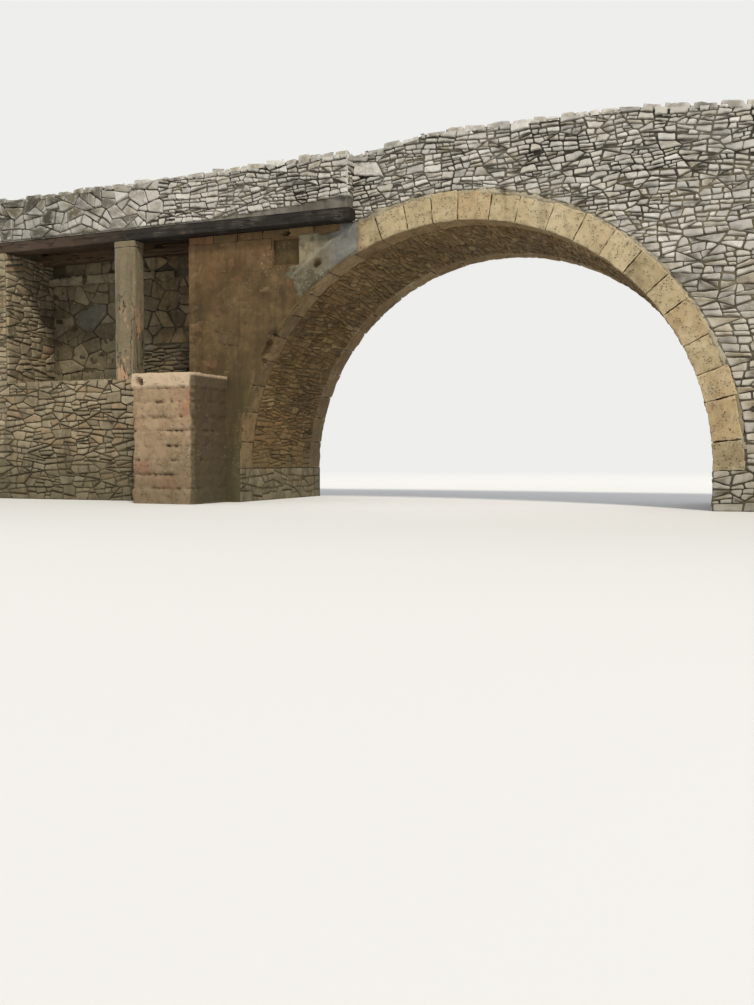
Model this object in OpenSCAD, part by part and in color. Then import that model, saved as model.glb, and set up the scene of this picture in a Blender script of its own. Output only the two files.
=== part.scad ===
// A small stone arch bridge over a stream. A half-round rubble vault lies between two
// rings of wedge stones, with rubble face walls and parapets over them. At the left of
// the downstream face the road edge is carried over a recessed bay by two timber beams
// and a rendered post.
// Millimetres. X runs along the road, Y points upstream and Z up. The origin is on the
// ground under the middle of the arch, half way between the outermost faces.

/* [Arch] */
// Clear span of the arch at its springing
arch_span = 8000; // [7000:100:8600]
// Height of the springing above the ground
springing_h = 600; // [300:50:900]
// Depth of the wedge stones in the two face rings
ring_depth = 430; // [400:10:520]
// Thickness of the rubble vault between the rings
vault_t = 380; // [250:10:400]
// Wedge stones on the left of the crown stone
stones_left = 12; // [9:1:15]
// Wedge stones on the right of the crown stone
stones_right = 13; // [9:1:15]
// Angle that the crown stone takes
crown_stone_a = 6; // [5:0.5:8]
// Lean of the crown stone away from the middle, to the left
crown_lean_a = 2.25; // [0:0.25:4]
// How far the joints wander, as a share of one stone
joint_wander = 0.14; // [0:0.02:0.2]
// Most that one wedge stone rises above the shallowest
stone_rise = 40; // [10:5:60]
// How far the boldest ring stones stand out from the wall
ring_proud = 25; // [10:5:40]
// Width of a mortar joint at the soffit
joint_w = 14; // [8:1:20]
// How far the mortar lies back from the stone
joint_back = 22; // [5:1:40]
// Chamfer worn on the long edges of the ring stones
arris_w = 14; // [5:1:25]

/* [Roadway] */
// Length of the bridge with its approaches
bridge_l = 20000; // [17800:100:24000]
// Width between the outer faces of the two face walls
bridge_w = 3300; // [3000:50:4200]
// Thickness of the road surface
road_t = 100; // [60:10:160]

/* [Walls] */
// Thickness of the face walls and length of the ring stones into the vault
wall_t = 480; // [400:10:600]
// Width of each abutment beside the springing
abutment_w = 1000; // [800:50:1300]

/* [Parapets] */
// Thickness of the parapets
parapet_t = 320; // [250:10:380]
// Height of the parapets above the road at the ends of the bridge
parapet_h = 510; // [400:10:800]
// Extra height where the parapets step over the arch
step_rise = 110; // [50:10:200]
// Extra height along the crest, above the step
crest_rise = 220; // [100:10:300]
// Distance from the step to the start of the crest
crest_run = 1300; // [900:50:1500]
// Right end of the crest
crest_end = 2800; // [2000:50:3200]

/* [Beam bay] */
// Width of the pier that closes the recessed bay at the left end of the bridge
end_pier_w = 1000; // [900:50:1400]
// Depth of the bay behind the wall face
bay_depth = 1100; // [1000:50:1400]
// Height of the bay floor above the ground
bay_floor_h = 2230; // [1500:10:2800]
// How far the beam and the parapet over it stand out in front of the wall
overhang = 250; // [150:10:300]
// Width of the front beam
beam_w = 380; // [330:10:400]
// Height of both beams
beam_h = 200; // [150:10:240]
// Drop from the top of the ring to the underside of the front beam
beam_drop = 300; // [260:10:400]
// How far the beam shows past the end of the parapet on it
beam_tail = 50; // [20:5:100]
// Clearance between the beam end and the ring
beam_gap = 15; // [5:5:30]
// Width of the rear beam
rear_beam_w = 220; // [150:10:260]
// Gap between the rear beam and the back wall
rear_beam_gap = 130; // [50:10:160]
// Length of the beam ends inside the masonry
beam_bearing_l = 200; // [100:10:300]
// Thickness of the deck boards
board_t = 60; // [40:5:80]
// Width of a deck board
board_w = 390; // [250:10:450]
// Gap between deck boards
board_gap = 10; // [4:1:20]
// Mortar bed under the parapet at its thin end
bed_thin_t = 20; // [10:5:40]
// Mortar bed under the parapet at its thick end
bed_thick_t = 180; // [80:10:200]
// Distance from the thick end at which the bed begins to thicken
bed_taper = 2500; // [1500:100:3000]
// Height of the bearing course under the beam
course_h = 130; // [100:10:180]
// How far the bearing course stands out
course_proud = 15; // [5:5:30]
// Number of blocks in the bearing course
course_blocks = 6; // [4:1:9]
// Width of the blocked square hole in the wall
niche_w = 480; // [300:10:550]
// Height of the blocked square hole
niche_h = 430; // [300:10:500]
// Depth of the blocked square hole
niche_d = 60; // [30:5:120]
// Distance of the square hole below the bearing course and beside the ring
niche_margin = 50; // [40:10:120]
// Height of the rough ledge on the back wall, above the bay floor
ledge_rise = 2070; // [1500:10:2150]
// Thickness of the rough ledge
ledge_t = 150; // [80:10:200]
// How far the rough ledge stands out
ledge_out = 170; // [80:10:250]

/* [Post] */
// Width of the post
post_w = 500; // [350:10:600]
// Thickness of the post
post_d = 300; // [200:10:450]
// Distance from the right side of the bay to the post
post_from_cheek = 1010; // [700:10:1200]
// Radius of the worn left corner of the post
post_round_r = 140; // [40:10:180]
// Height of the cap block on the post
cap_h = 100; // [60:10:160]
// How far the cap block stands out from the shaft
cap_out = 8; // [0:2:20]
// Mortar joint under the cap block
cap_joint = 8; // [4:1:15]

/* [Pedestal] */
// Width of the worn masonry pedestal
pedestal_w = 1280; // [900:10:1500]
// How far the pedestal stands out from the wall face
pedestal_out = 1150; // [700:10:1400]
// How far the top of the pedestal lies below the bay floor
pedestal_drop = 0; // [0:10:700]
// Distance from the springing to the right side of the pedestal
pedestal_from_springing = 210; // [50:10:300]
// Courses in the pedestal
pedestal_courses = 9; // [6:1:12]
// Most that a worn course lies back
pedestal_wear = 75; // [20:5:120]
// Radius of the worn corners
pedestal_round_r = 90; // [40:10:150]

/* [Hidden] */
$fn = 96;
// Facets of the large circles about the middle of the arch
arch_fn = 360;
// Flat stretches round each worn corner of the pedestal
corner_facets = 4;
// How far a cutting block runs past the face that it cuts
cut_over = 10;

// Colours of the finishes
ring_tan = [0.72, 0.61, 0.42];
vault_brown = [0.50, 0.42, 0.30];
limestone = [0.66, 0.65, 0.61];
ochre = [0.57, 0.46, 0.32];
bay_grey = [0.50, 0.47, 0.40];
mortar_grey = [0.62, 0.62, 0.58];
timber = [0.20, 0.16, 0.13];
render_beige = [0.62, 0.56, 0.45];
pedestal_pink = [0.70, 0.60, 0.48];
road_earth = [0.55, 0.50, 0.42];

// Heights
radius = arch_span / 2;
ring_r = radius + ring_depth;
clear_r = ring_r + stone_rise;
ring_top = springing_h + ring_r;
wall_top = springing_h + clear_r;
road_z = wall_top + road_t;
beam_z = ring_top - beam_drop;
beam_top = beam_z + beam_h;
board_z = beam_top - board_t;
course_z = beam_z - course_h;
niche_z = course_z - niche_margin - niche_h;
ledge_z = bay_floor_h + ledge_rise;
pedestal_h = bay_floor_h - pedestal_drop;

// Places along the road
end_x = bridge_l / 2;
abutment_x = radius + abutment_w;
bay_x = -end_x + end_pier_w;
bay_l = -abutment_x - bay_x;
beam_start_x = bay_x - 3 * beam_bearing_l;
beam_end_x = -ring_x(beam_z) - beam_gap;
course_end_x = -ring_x(course_z) - beam_gap;
step_x = beam_end_x - beam_tail;
bed_taper_x = step_x - bed_taper;
niche_x = -ring_x(niche_z) - niche_margin - niche_w;
post_x = -abutment_x - post_from_cheek - post_w;
pedestal_x = -radius - pedestal_from_springing - pedestal_w;

// Places across the road, counted from the downstream face
face_y = (pedestal_out - bridge_w - ring_proud) / 2;
core_y = [wall_t, bridge_w - wall_t];
beam_back = beam_w - overhang;
lip_back = parapet_t - overhang;
board_bearing = beam_back - lip_back;
back_wall_y = [bay_depth, bay_depth + wall_t];
rear_beam_y = bay_depth - rear_beam_gap - rear_beam_w;

// Angles of the ring joints, from the crown, positive to the right
crown_from = -crown_lean_a - crown_stone_a / 2;
crown_to = -crown_lean_a + crown_stone_a / 2;
joint_half_a = joint_w / 2 / radius * 180 / PI;
vault_a = 180 / 5;

// Half width of the ring's outline at a height
function ring_x(z) = sqrt(pow(clear_r, 2) - pow(z - springing_h, 2));
// A repeatable number from -1 to 1 for stone k of row s
function chance(k, s) = rands(-1, 1, 1, 97 * s + k)[0];
// Angle of joint k out of n between two angles, with a little wander inside
function joint_a(k, n, from, to, s) =
    from + (to - from) * (k + (k > 0 && k < n ? joint_wander * chance(k, s) : 0)) / n;
// Half the angle of the mortar joint at an angle, with none at the springing
function half_joint(a) = abs(a) < 90 ? joint_half_a : 0;
// Depth and projection of one ring stone
function stone_depth(k, s) = ring_depth + stone_rise * (0.5 + 0.5 * chance(k, s + 40));
function stone_out(k, s) = ring_proud * (0.5 + 0.5 * chance(k, s + 80));
// A point of the face at an angle from the crown and a distance from the arch's middle
function ring_point(a, r) = [r * sin(a), springing_h + r * cos(a)];
// Distance to a stone's straight back, at some angle off the middle of the stone
function back_r(depth, half, off) = (radius + depth) * cos(half) / cos(off);
// Corners of the seat that one side of a ring makes for the wall over it
function seat_points(n, from, to, s) = [
    for (k = [0 : n - 1], end = [0, 1])
        ring_point(joint_a(k + end, n, from, to, s), radius + stone_depth(k, s))
];
// The point on the crown stone's back over the middle of the arch
function crown_split() =
    [0, springing_h + back_r(ring_depth + stone_rise, crown_stone_a / 2, crown_lean_a)];
// Height of a parapet's top at a place along the road
function parapet_top(x) =
    road_z + parapet_h + (x < step_x ? step_rise * (x + end_x) / (step_x + end_x)
    : x < step_x + crest_run ? step_rise + crest_rise * (x - step_x) / crest_run
    : x < crest_end ? step_rise + crest_rise
    : x < abutment_x ? step_rise + crest_rise * (abutment_x - x) / (abutment_x - crest_end)
    : step_rise * (end_x - x) / (end_x - abutment_x));

// A block between two places along, across and up, counted from the downstream face
module block(x, y, z) {
    translate([x[0], face_y + y[0], z[0]]) cube([x[1] - x[0], y[1] - y[0], z[1] - z[0]]);
}

// An outline in the plane of the face, given its thickness between two places across
module wall_slab(y) {
    translate([0, face_y + y[1], 0])
        rotate([90, 0, 0])
            linear_extrude(height = y[1] - y[0]) children();
}

// A profile swept between two angles from the crown, its foot at one place across
module sector(from, to, y_end) {
    translate([0, face_y + y_end, springing_h])
        rotate([90, 0, 0])
            rotate([0, 0, 90 - to])
                rotate_extrude(angle = to - from, $fn = arch_fn) children();
}

// A plain sector between two radii and two places across
module arc_block(from, to, r, y) {
    sector(from, to, y[1]) translate([r[0], 0]) square([r[1] - r[0], y[1] - y[0]]);
}

// One wedge stone with a straight back and a worn edge along its soffit
module wedge_stone(from, to, depth, out, upstream) {
    y = upstream ? [core_y[1], bridge_w + out] : [-out, wall_t];
    half = (to - from) / 2;
    gaps = [half_joint(from), half_joint(to)];
    difference() {
        wall_slab(y)
            polygon([
                ring_point(from + gaps[0], 0.9 * radius),
                ring_point(from + gaps[0], back_r(depth, half, half - gaps[0])),
                ring_point(to - gaps[1], back_r(depth, half, half - gaps[1])),
                ring_point(to - gaps[1], 0.9 * radius)
            ]);
        arch_cut(radius, y);
        translate([0, face_y + (upstream ? y[1] : y[0]), springing_h])
            rotate([upstream ? 90 : -90, 0, 0])
                cylinder(r1 = radius + arris_w, r2 = radius, h = arris_w, $fn = arch_fn);
    }
}

// One side of a ring, stone by stone
module ring_side(n, from, to, s, upstream) {
    for (k = [0 : n - 1])
        wedge_stone(joint_a(k, n, from, to, s), joint_a(k + 1, n, from, to, s),
                    stone_depth(k, s), stone_out(k, s), upstream);
}

// A round opening through a wall, about the middle of the arch
module arch_cut(r, y) {
    translate([0, face_y + y[1] + cut_over, springing_h])
        rotate([90, 0, 0]) cylinder(r = r, h = y[1] - y[0] + 2 * cut_over, $fn = arch_fn);
}

// The mortar between neighbouring stones, lying back from the face and the soffit
module joint_row(n, from, to, s, y) {
    for (k = [0 : n])
        if (abs(joint_a(k, n, from, to, s)) < 90)
            arc_block(joint_a(k, n, from, to, s) - joint_half_a,
                      joint_a(k, n, from, to, s) + joint_half_a, [radius + joint_back, ring_r], y);
}

module footing(x) {
    color(ochre) block(x, [0, bridge_w], [0, springing_h]);
}

module footing_left() {
    footing([-abutment_x, -radius]);
}

module footing_right() {
    footing([radius, abutment_x]);
}

// The rubble vault between the rings, in five lengths of one arc
module vault_part(i) {
    color(vault_brown)
        arc_block(-90 + i * vault_a, -90 + (i + 1) * vault_a, [radius, radius + vault_t], core_y);
}

module vault_left_haunch() {
    vault_part(0);
}

module vault_left_shoulder() {
    vault_part(1);
}

module vault_crown() {
    vault_part(2);
}

module vault_right_shoulder() {
    vault_part(3);
}

module vault_right_haunch() {
    vault_part(4);
}

module ring_left_downstream() {
    color(ring_tan) ring_side(stones_left, -90, crown_from, 1, false);
}

module ring_right_downstream() {
    color(ring_tan) ring_side(stones_right, crown_to, 90, 2, false);
}

module ring_left_upstream() {
    color(ring_tan) ring_side(stones_left, -90, crown_from, 3, true);
}

module ring_right_upstream() {
    color(ring_tan) ring_side(stones_right, crown_to, 90, 4, true);
}

// The two stones that close the rings
module crown_stones() {
    color(ring_tan)
        for (upstream = [false, true])
            wedge_stone(crown_from, crown_to, ring_depth + stone_rise, ring_proud, upstream);
}

module ring_mortar() {
    down = [joint_back, wall_t];
    up = [core_y[1], bridge_w - joint_back];
    color(mortar_grey) {
        joint_row(stones_left, -90, crown_from, 1, down);
        joint_row(stones_right, crown_to, 90, 2, down);
        joint_row(stones_left, -90, crown_from, 3, up);
        joint_row(stones_right, crown_to, 90, 4, up);
    }
}

// A face wall over the left half of the arch, seated on the straight backs of its ring
module spandrel_left(s, y) {
    wall_slab(y)
        polygon(concat(
            [[-abutment_x, springing_h]], seat_points(stones_left, -90, crown_from, s),
            [ring_point(crown_from, clear_r), crown_split(), [0, wall_top], [-abutment_x, wall_top]]
        ));
}

// The same over the right half
module spandrel_right(s, y) {
    wall_slab(y)
        polygon(concat(
            [[0, wall_top], crown_split(), ring_point(crown_to, clear_r)],
            seat_points(stones_right, crown_to, 90, s),
            [[abutment_x, springing_h], [abutment_x, wall_top]]
        ));
}

module spandrel_left_downstream() {
    before = -overhang;
    outside = -abutment_x - cut_over;
    color(ochre)
        difference() {
            spandrel_left(1, [0, wall_t]);
            block([outside, course_end_x], [before, beam_back], [course_z, beam_z]);
            block([outside, beam_end_x], [before, beam_back], [beam_z, beam_top]);
            block([outside, step_x], [before, lip_back], [beam_top, wall_top + cut_over]);
            block([niche_x, niche_x + niche_w], [before, niche_d], [niche_z, niche_z + niche_h]);
        }
}

module spandrel_right_downstream() {
    color(ochre) spandrel_right(2, [0, wall_t]);
}

module spandrel_left_upstream() {
    color(ochre) spandrel_left(3, [core_y[1], bridge_w]);
}

module spandrel_right_upstream() {
    color(ochre) spandrel_right(4, [core_y[1], bridge_w]);
}

// Squared blocks that carry the front beam along the wall
module bearing_course() {
    pitch = (course_end_x + abutment_x) / course_blocks;
    color(ring_tan)
        for (k = [0 : course_blocks - 1]) {
            x0 = -abutment_x + k * pitch + (k > 0 ? joint_w : 0);
            out = course_proud * (0.6 + 0.4 * chance(k, 9));
            block([x0, -abutment_x + (k + 1) * pitch], [-out, beam_back], [course_z, beam_z]);
        }
}

// The masonry between the face walls, over the vault
module haunch_core(x) {
    difference() {
        block(x, core_y, [springing_h, wall_top]);
        arch_cut(radius + vault_t, core_y);
    }
}

module haunch_core_left() {
    color(bay_grey)
        difference() {
            haunch_core([-abutment_x, 0]);
            beam_rear_space();
        }
}

module haunch_core_right() {
    color(bay_grey) haunch_core([0, abutment_x]);
}

module approach_core_left() {
    color(bay_grey)
        block([-end_x + wall_t, -abutment_x], [back_wall_y[1], core_y[1]], [0, wall_top]);
}

module approach_core_right() {
    color(bay_grey) block([abutment_x, end_x - wall_t], core_y, [0, wall_top]);
}

module approach_wall_left_upstream() {
    color(ochre) block([-end_x, -abutment_x], [core_y[1], bridge_w], [0, wall_top]);
}

module approach_wall_right_downstream() {
    color(ochre) block([abutment_x, end_x], [0, wall_t], [0, wall_top]);
}

module approach_wall_right_upstream() {
    color(ochre) block([abutment_x, end_x], [core_y[1], bridge_w], [0, wall_top]);
}

module end_wall_left() {
    color(ochre) block([-end_x, -end_x + wall_t], [back_wall_y[1], core_y[1]], [0, wall_top]);
}

module end_wall_right() {
    color(ochre) block([end_x - wall_t, end_x], core_y, [0, wall_top]);
}

// The back wall of the bay, with a rebate for the ends of the deck boards
module bay_back_wall() {
    color(bay_grey)
        difference() {
            block([-end_x, -abutment_x], back_wall_y, [0, wall_top]);
            block([bay_x, -abutment_x + cut_over], [bay_depth - cut_over, bay_depth + board_bearing],
                  [board_z, wall_top + cut_over]);
        }
}

// The pier that closes the bay and holds the left ends of both beams
module bay_end_pier() {
    color(ochre)
        difference() {
            block([-end_x, bay_x], [-overhang, bay_depth], [0, wall_top]);
            block([beam_start_x, bay_x + cut_over], [-overhang - cut_over, beam_back],
                  [beam_z, beam_top]);
            block([-end_x - cut_over, bay_x + cut_over], [-overhang - cut_over, lip_back],
                  [beam_top, wall_top + cut_over]);
            beam_rear_space();
        }
}

module bay_base() {
    color(bay_grey) block([bay_x, -abutment_x], [-overhang, bay_depth], [0, bay_floor_h]);
}

// Rough stones that stand out of the back wall beside the post
module bay_ledge() {
    color(bay_grey)
        difference() {
            translate([0, 0, ledge_z])
                linear_extrude(height = ledge_t)
                    polygon([
                        [bay_x, face_y + bay_depth], [bay_x, face_y + bay_depth - ledge_out],
                        [post_x - post_w, face_y + bay_depth - ledge_out],
                        [post_x, face_y + bay_depth - ledge_out / 2], [post_x + post_w, face_y + bay_depth]
                    ]);
            beam_rear_space();
        }
}

// Outline of the post from above, with its left corner worn round
module post_outline(grow) {
    front = face_y - overhang;
    union() {
        translate([post_x + post_round_r, front - grow])
            square([post_w - post_round_r + grow, post_d + 2 * grow]);
        translate([post_x - grow, front + post_round_r])
            square([post_w, post_d - post_round_r + grow]);
        translate([post_x + post_round_r, front + post_round_r]) circle(r = post_round_r + grow);
    }
}

module post() {
    color(render_beige)
        translate([0, 0, bay_floor_h])
            linear_extrude(height = beam_z - cap_h - cap_joint - bay_floor_h) post_outline(0);
}

// The cap block, on its thin bed of mortar
module post_cap() {
    color(render_beige) {
        translate([0, 0, beam_z - cap_h]) linear_extrude(height = cap_h) post_outline(cap_out);
        translate([0, 0, beam_z - cap_h - cap_joint])
            linear_extrude(height = cap_joint) post_outline(-cap_out);
    }
}

// The front beam, with a rebate for the ends of the deck boards
module beam_front() {
    color(timber)
        difference() {
            block([beam_start_x, beam_end_x], [-overhang, beam_back], [beam_z, beam_top]);
            block([bay_x, -abutment_x], [lip_back, beam_back + cut_over],
                  [board_z, beam_top + cut_over]);
        }
}

module beam_rear_space() {
    block([bay_x - beam_bearing_l, -abutment_x + beam_bearing_l],
          [rear_beam_y, rear_beam_y + rear_beam_w], [board_z - beam_h, board_z]);
}

module beam_rear() {
    color(timber) beam_rear_space();
}

module deck_boards() {
    pitch = board_w + board_gap;
    count = floor((bay_l - board_gap) / pitch);
    margin = (bay_l - count * pitch + board_gap) / 2;
    color(timber)
        for (k = [0 : count - 1])
            block([bay_x + margin + k * pitch, bay_x + margin + k * pitch + board_w],
                  [lip_back, bay_depth + board_bearing], [board_z, beam_top]);
}

// The levelling bed between the front beam and its parapet
module mortar_bed() {
    color(mortar_grey)
        wall_slab([-overhang, lip_back])
            polygon([
                [-end_x, beam_top], [step_x, beam_top], [step_x, beam_top + bed_thick_t],
                [bed_taper_x, beam_top + bed_thin_t], [-end_x, beam_top + bed_thin_t]
            ]);
}

// A parapet between two places along the road, its top following the crest
module parapet(x0, x1, y) {
    bends = [for (x = [step_x + crest_run, crest_end]) if (x > x0 && x < x1) x];
    top = concat([x0], bends, [x1]);
    color(limestone)
        wall_slab(y)
            polygon(concat([for (x = top) [x, parapet_top(x)]], [[x1, wall_top], [x0, wall_top]]));
}

module parapet_left_downstream() {
    color(bay_grey)
        wall_slab([-overhang, lip_back])
            polygon([
                [-end_x, parapet_top(-end_x)], [step_x, parapet_top(step_x)],
                [step_x, beam_top + bed_thick_t], [bed_taper_x, beam_top + bed_thin_t],
                [-end_x, beam_top + bed_thin_t]
            ]);
}

module parapet_centre_downstream() {
    parapet(step_x, abutment_x, [0, parapet_t]);
}

module parapet_right_downstream() {
    parapet(abutment_x, end_x, [0, parapet_t]);
}

module parapet_left_upstream() {
    parapet(-end_x, step_x, [bridge_w - parapet_t, bridge_w]);
}

module parapet_centre_upstream() {
    parapet(step_x, abutment_x, [bridge_w - parapet_t, bridge_w]);
}

module parapet_right_upstream() {
    parapet(abutment_x, end_x, [bridge_w - parapet_t, bridge_w]);
}

// The trodden surface between the parapets, bedded thicker over the deck boards
module road_surface() {
    color(road_earth) {
        block([-end_x, step_x], [lip_back, bridge_w - parapet_t], [wall_top, road_z]);
        block([step_x, end_x], [parapet_t, bridge_w - parapet_t], [wall_top, road_z]);
        block([bay_x, -abutment_x], [lip_back, bay_depth + board_bearing], [beam_top, wall_top]);
    }
}

// Outline of one course of the pedestal, worn back by some amount, with round corners
module pedestal_outline(wear) {
    r = pedestal_round_r;
    x = [pedestal_x + wear, pedestal_x + pedestal_w - wear];
    y = face_y - pedestal_out + wear;
    step_a = 90 / corner_facets;
    polygon([
        [x[0], face_y],
        for (a = [180 : step_a : 270]) [x[0] + r + r * cos(a), y + r + r * sin(a)],
        for (a = [270 : step_a : 360]) [x[1] - r + r * cos(a), y + r + r * sin(a)],
        [x[1], face_y]
    ]);
}

module pedestal() {
    rise = pedestal_h / pedestal_courses;
    last = pedestal_courses - 1;
    color(pedestal_pink)
        difference() {
            union() {
                linear_extrude(height = pedestal_h) pedestal_outline(pedestal_wear);
                for (k = [0 : last])
                    translate([0, 0, k * rise])
                        linear_extrude(height = rise)
                            pedestal_outline(k == 0 || k == last ? 0
                                : pedestal_wear * (0.5 + 0.4 * chance(k, 7)));
            }
            block([bay_x, -abutment_x], [-overhang, bay_depth], [-cut_over, pedestal_h + cut_over]);
            arch_cut(clear_r, [-ring_proud, 0]);
        }
}

footing_left();
footing_right();
vault_left_haunch();
vault_left_shoulder();
vault_crown();
vault_right_shoulder();
vault_right_haunch();
ring_left_downstream();
ring_right_downstream();
ring_left_upstream();
ring_right_upstream();
crown_stones();
ring_mortar();
spandrel_left_downstream();
spandrel_right_downstream();
spandrel_left_upstream();
spandrel_right_upstream();
bearing_course();
haunch_core_left();
haunch_core_right();
approach_core_left();
approach_core_right();
approach_wall_left_upstream();
approach_wall_right_downstream();
approach_wall_right_upstream();
end_wall_left();
end_wall_right();
bay_back_wall();
bay_end_pier();
bay_base();
bay_ledge();
post();
post_cap();
beam_front();
beam_rear();
deck_boards();
mortar_bed();
parapet_left_downstream();
parapet_centre_downstream();
parapet_right_downstream();
parapet_left_upstream();
parapet_centre_upstream();
parapet_right_upstream();
road_surface();
pedestal();
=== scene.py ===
import math
import random

import bpy
import numpy as np
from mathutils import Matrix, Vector
from mathutils import noise as cloud


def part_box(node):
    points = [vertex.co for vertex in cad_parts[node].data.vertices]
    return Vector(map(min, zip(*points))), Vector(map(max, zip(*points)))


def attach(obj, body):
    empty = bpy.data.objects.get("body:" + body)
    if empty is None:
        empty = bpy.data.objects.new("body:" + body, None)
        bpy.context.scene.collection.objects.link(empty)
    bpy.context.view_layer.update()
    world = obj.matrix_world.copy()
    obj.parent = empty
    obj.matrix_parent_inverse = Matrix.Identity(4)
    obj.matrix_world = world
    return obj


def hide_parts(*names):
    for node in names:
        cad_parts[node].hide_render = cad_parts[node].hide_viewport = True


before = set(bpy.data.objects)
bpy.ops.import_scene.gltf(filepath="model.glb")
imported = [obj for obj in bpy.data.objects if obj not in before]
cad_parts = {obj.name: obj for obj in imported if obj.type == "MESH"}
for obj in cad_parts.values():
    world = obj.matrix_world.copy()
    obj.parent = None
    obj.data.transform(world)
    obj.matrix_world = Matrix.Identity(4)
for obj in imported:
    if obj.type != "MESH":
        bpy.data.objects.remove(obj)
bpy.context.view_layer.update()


def span(node, axis):
    """Where a CAD node's box starts and ends along X, Y or Z, to a tenth of a millimetre."""
    return tuple(round(corner["XYZ".index(axis)], 4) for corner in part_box(node))


# Places and sizes, in metres, from the frame
RADIUS, ABUTMENT = span("footing_right", "X")
SPRINGING = span("footing_right", "Z")[1]
FACE = span("spandrel_left_downstream", "Y")[0]
BACK = span("spandrel_left_upstream", "Y")[1]
CORE = span("haunch_core_left", "Y")
END = span("road_surface", "X")[1]
ROAD = span("road_surface", "Z")[1]
BAY = span("bay_end_pier", "X")[1]
BAY_BACK = span("bay_back_wall", "Y")[0]
BAY_FLOOR = span("bay_base", "Z")[1]
BEAM_START, BEAM_END = span("beam_front", "X")
BEAM_LOW, BEAM_TOP = span("beam_front", "Z")
COURSE_LOW = span("bearing_course", "Z")[0]
POST = span("post", "X")
POST_TOP = span("post", "Z")[1]
PEDESTAL = span("pedestal", "X")
STEP = span("parapet_left_downstream", "X")[1]
STEP_TOP = span("parapet_left_downstream", "Z")[1]
CREST = span("parapet_centre_downstream", "Z")[1]
FORWARD = span("parapet_left_downstream", "Y")
BED = span("parapet_left_downstream", "Z")[0], span("mortar_bed", "Z")[1]
LEDGE = span("bay_ledge", "Z")
CENTRE = span("parapet_centre_downstream", "Y")
UPSTREAM = span("parapet_centre_upstream", "Y")

# Places and sizes that no box gives
RING_BACK = RADIUS + 0.47
END_TOP = 5.68
NICHE = (-3.285, -2.805, 4.12, 4.55)  # left, right, low and high side
BREAK = 58  # degrees left of the crown, in the middle of the broken place
BROKEN = [(RADIUS * math.sin(math.radians(-a)), SPRINGING + RADIUS * math.cos(math.radians(-a)), 0.16)
          for a in (BREAK - 2.5, BREAK, BREAK + 2.5)]
HOLLOW = (-2.46, 4.085, 0.09)  # x, z and reach of the small hole in the smear
BLUE_STONE = (-8.05, 3.62)  # x and z of its middle, in the bay's back wall
FACE_END = BEAM_END - 0.015  # right end of the left abutment's face
SMEARED = (-2.82, 4.0)  # left and low end of the mortar smeared between niche and ring
RIDGE = 4.4  # distance of the smear's pale ridge from the arch's centre
PEDESTAL_COURSES = 9
TRACKS = (0.55, 0.62)  # the line between the wheel tracks, and how far each is from it
ROUGH_WALL = dict(wander=0.34, uneven=0.4, proud=0.024, vary=0.018, tilt=0.12, soft=0.017, step=0.1,
                  smallest=0.0012, pillow=(0.004, 0.01), gaps=0.06)


# Camera, floor and light
def set_the_stage():
    """The photo's view, a pale floor and soft daylight."""
    scene = bpy.context.scene
    scene.view_settings.view_transform = "Standard"
    turn = (math.radians(87.5), 0, math.radians(22.5))
    bpy.ops.object.camera_add(location=(5.07, -16.5775, 0.77), rotation=turn)
    scene.camera = bpy.context.object
    lens = scene.camera.data
    lens.sensor_fit = "VERTICAL"
    lens.sensor_height = lens.sensor_width = 36
    lens.lens = 35.82

    bpy.ops.mesh.primitive_circle_add(vertices=96, radius=90, fill_type="NGON")
    floor = bpy.context.object
    floor.name = "pale_floor"
    floor.data.materials.append(floor_finish())

    scene.world = soft_sky()
    lamp("key_lamp", (17, -20, 26), 2.6, math.radians(9), (255, 247, 232))
    lamp("fill_lamp", (-20, -16, 9), 0.55, math.radians(50), (226, 234, 250))
    lamp("rear_lamp", (4, 24, 15), 0.9, math.radians(40), (240, 244, 255))


def soft_sky():
    """A pale sky as light, and a plain backdrop where it is seen."""
    world = bpy.data.worlds.new("soft_sky")
    world.use_nodes = True
    tree = world.node_tree
    sky = tree.nodes["Background"]
    put(tree, sky.inputs["Color"], paint(232, 236, 244))
    put(tree, sky.inputs["Strength"], 0.55)
    backdrop = add(tree, "Background", Color=BACKDROP, Strength=1.0)
    kinds = ("Camera", "Glossy", "Transmission")
    camera, glossy, through = (add(tree, "LightPath", out=f"Is {kind} Ray") for kind in kinds)
    seen = camera.maths("MAXIMUM", glossy).maths("MAXIMUM", through)
    surface = add(tree, "MixShader", seen, Value(tree, sky.outputs[0]), backdrop)
    put(tree, tree.nodes["World Output"].inputs["Surface"], surface)
    return world


def lamp(name, place, strength, width, tone):
    bpy.ops.object.light_add(type="SUN", location=place)
    sun = bpy.context.object
    sun.name = name
    sun.rotation_euler = (-Vector(place)).to_track_quat("-Z", "Y").to_euler()
    sun.data.energy = strength
    sun.data.angle = width
    sun.data.color = paint(*tone)


def paint(red, green, blue):
    """A colour as it looks on a screen, 0 to 255, as the shader wants it."""
    shares = (red / 255, green / 255, blue / 255)
    return tuple(((v + 0.055) / 1.055) ** 2.4 if v > 0.04045 else v / 12.92 for v in shares)


BACKDROP = paint(238, 238, 236)


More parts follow.
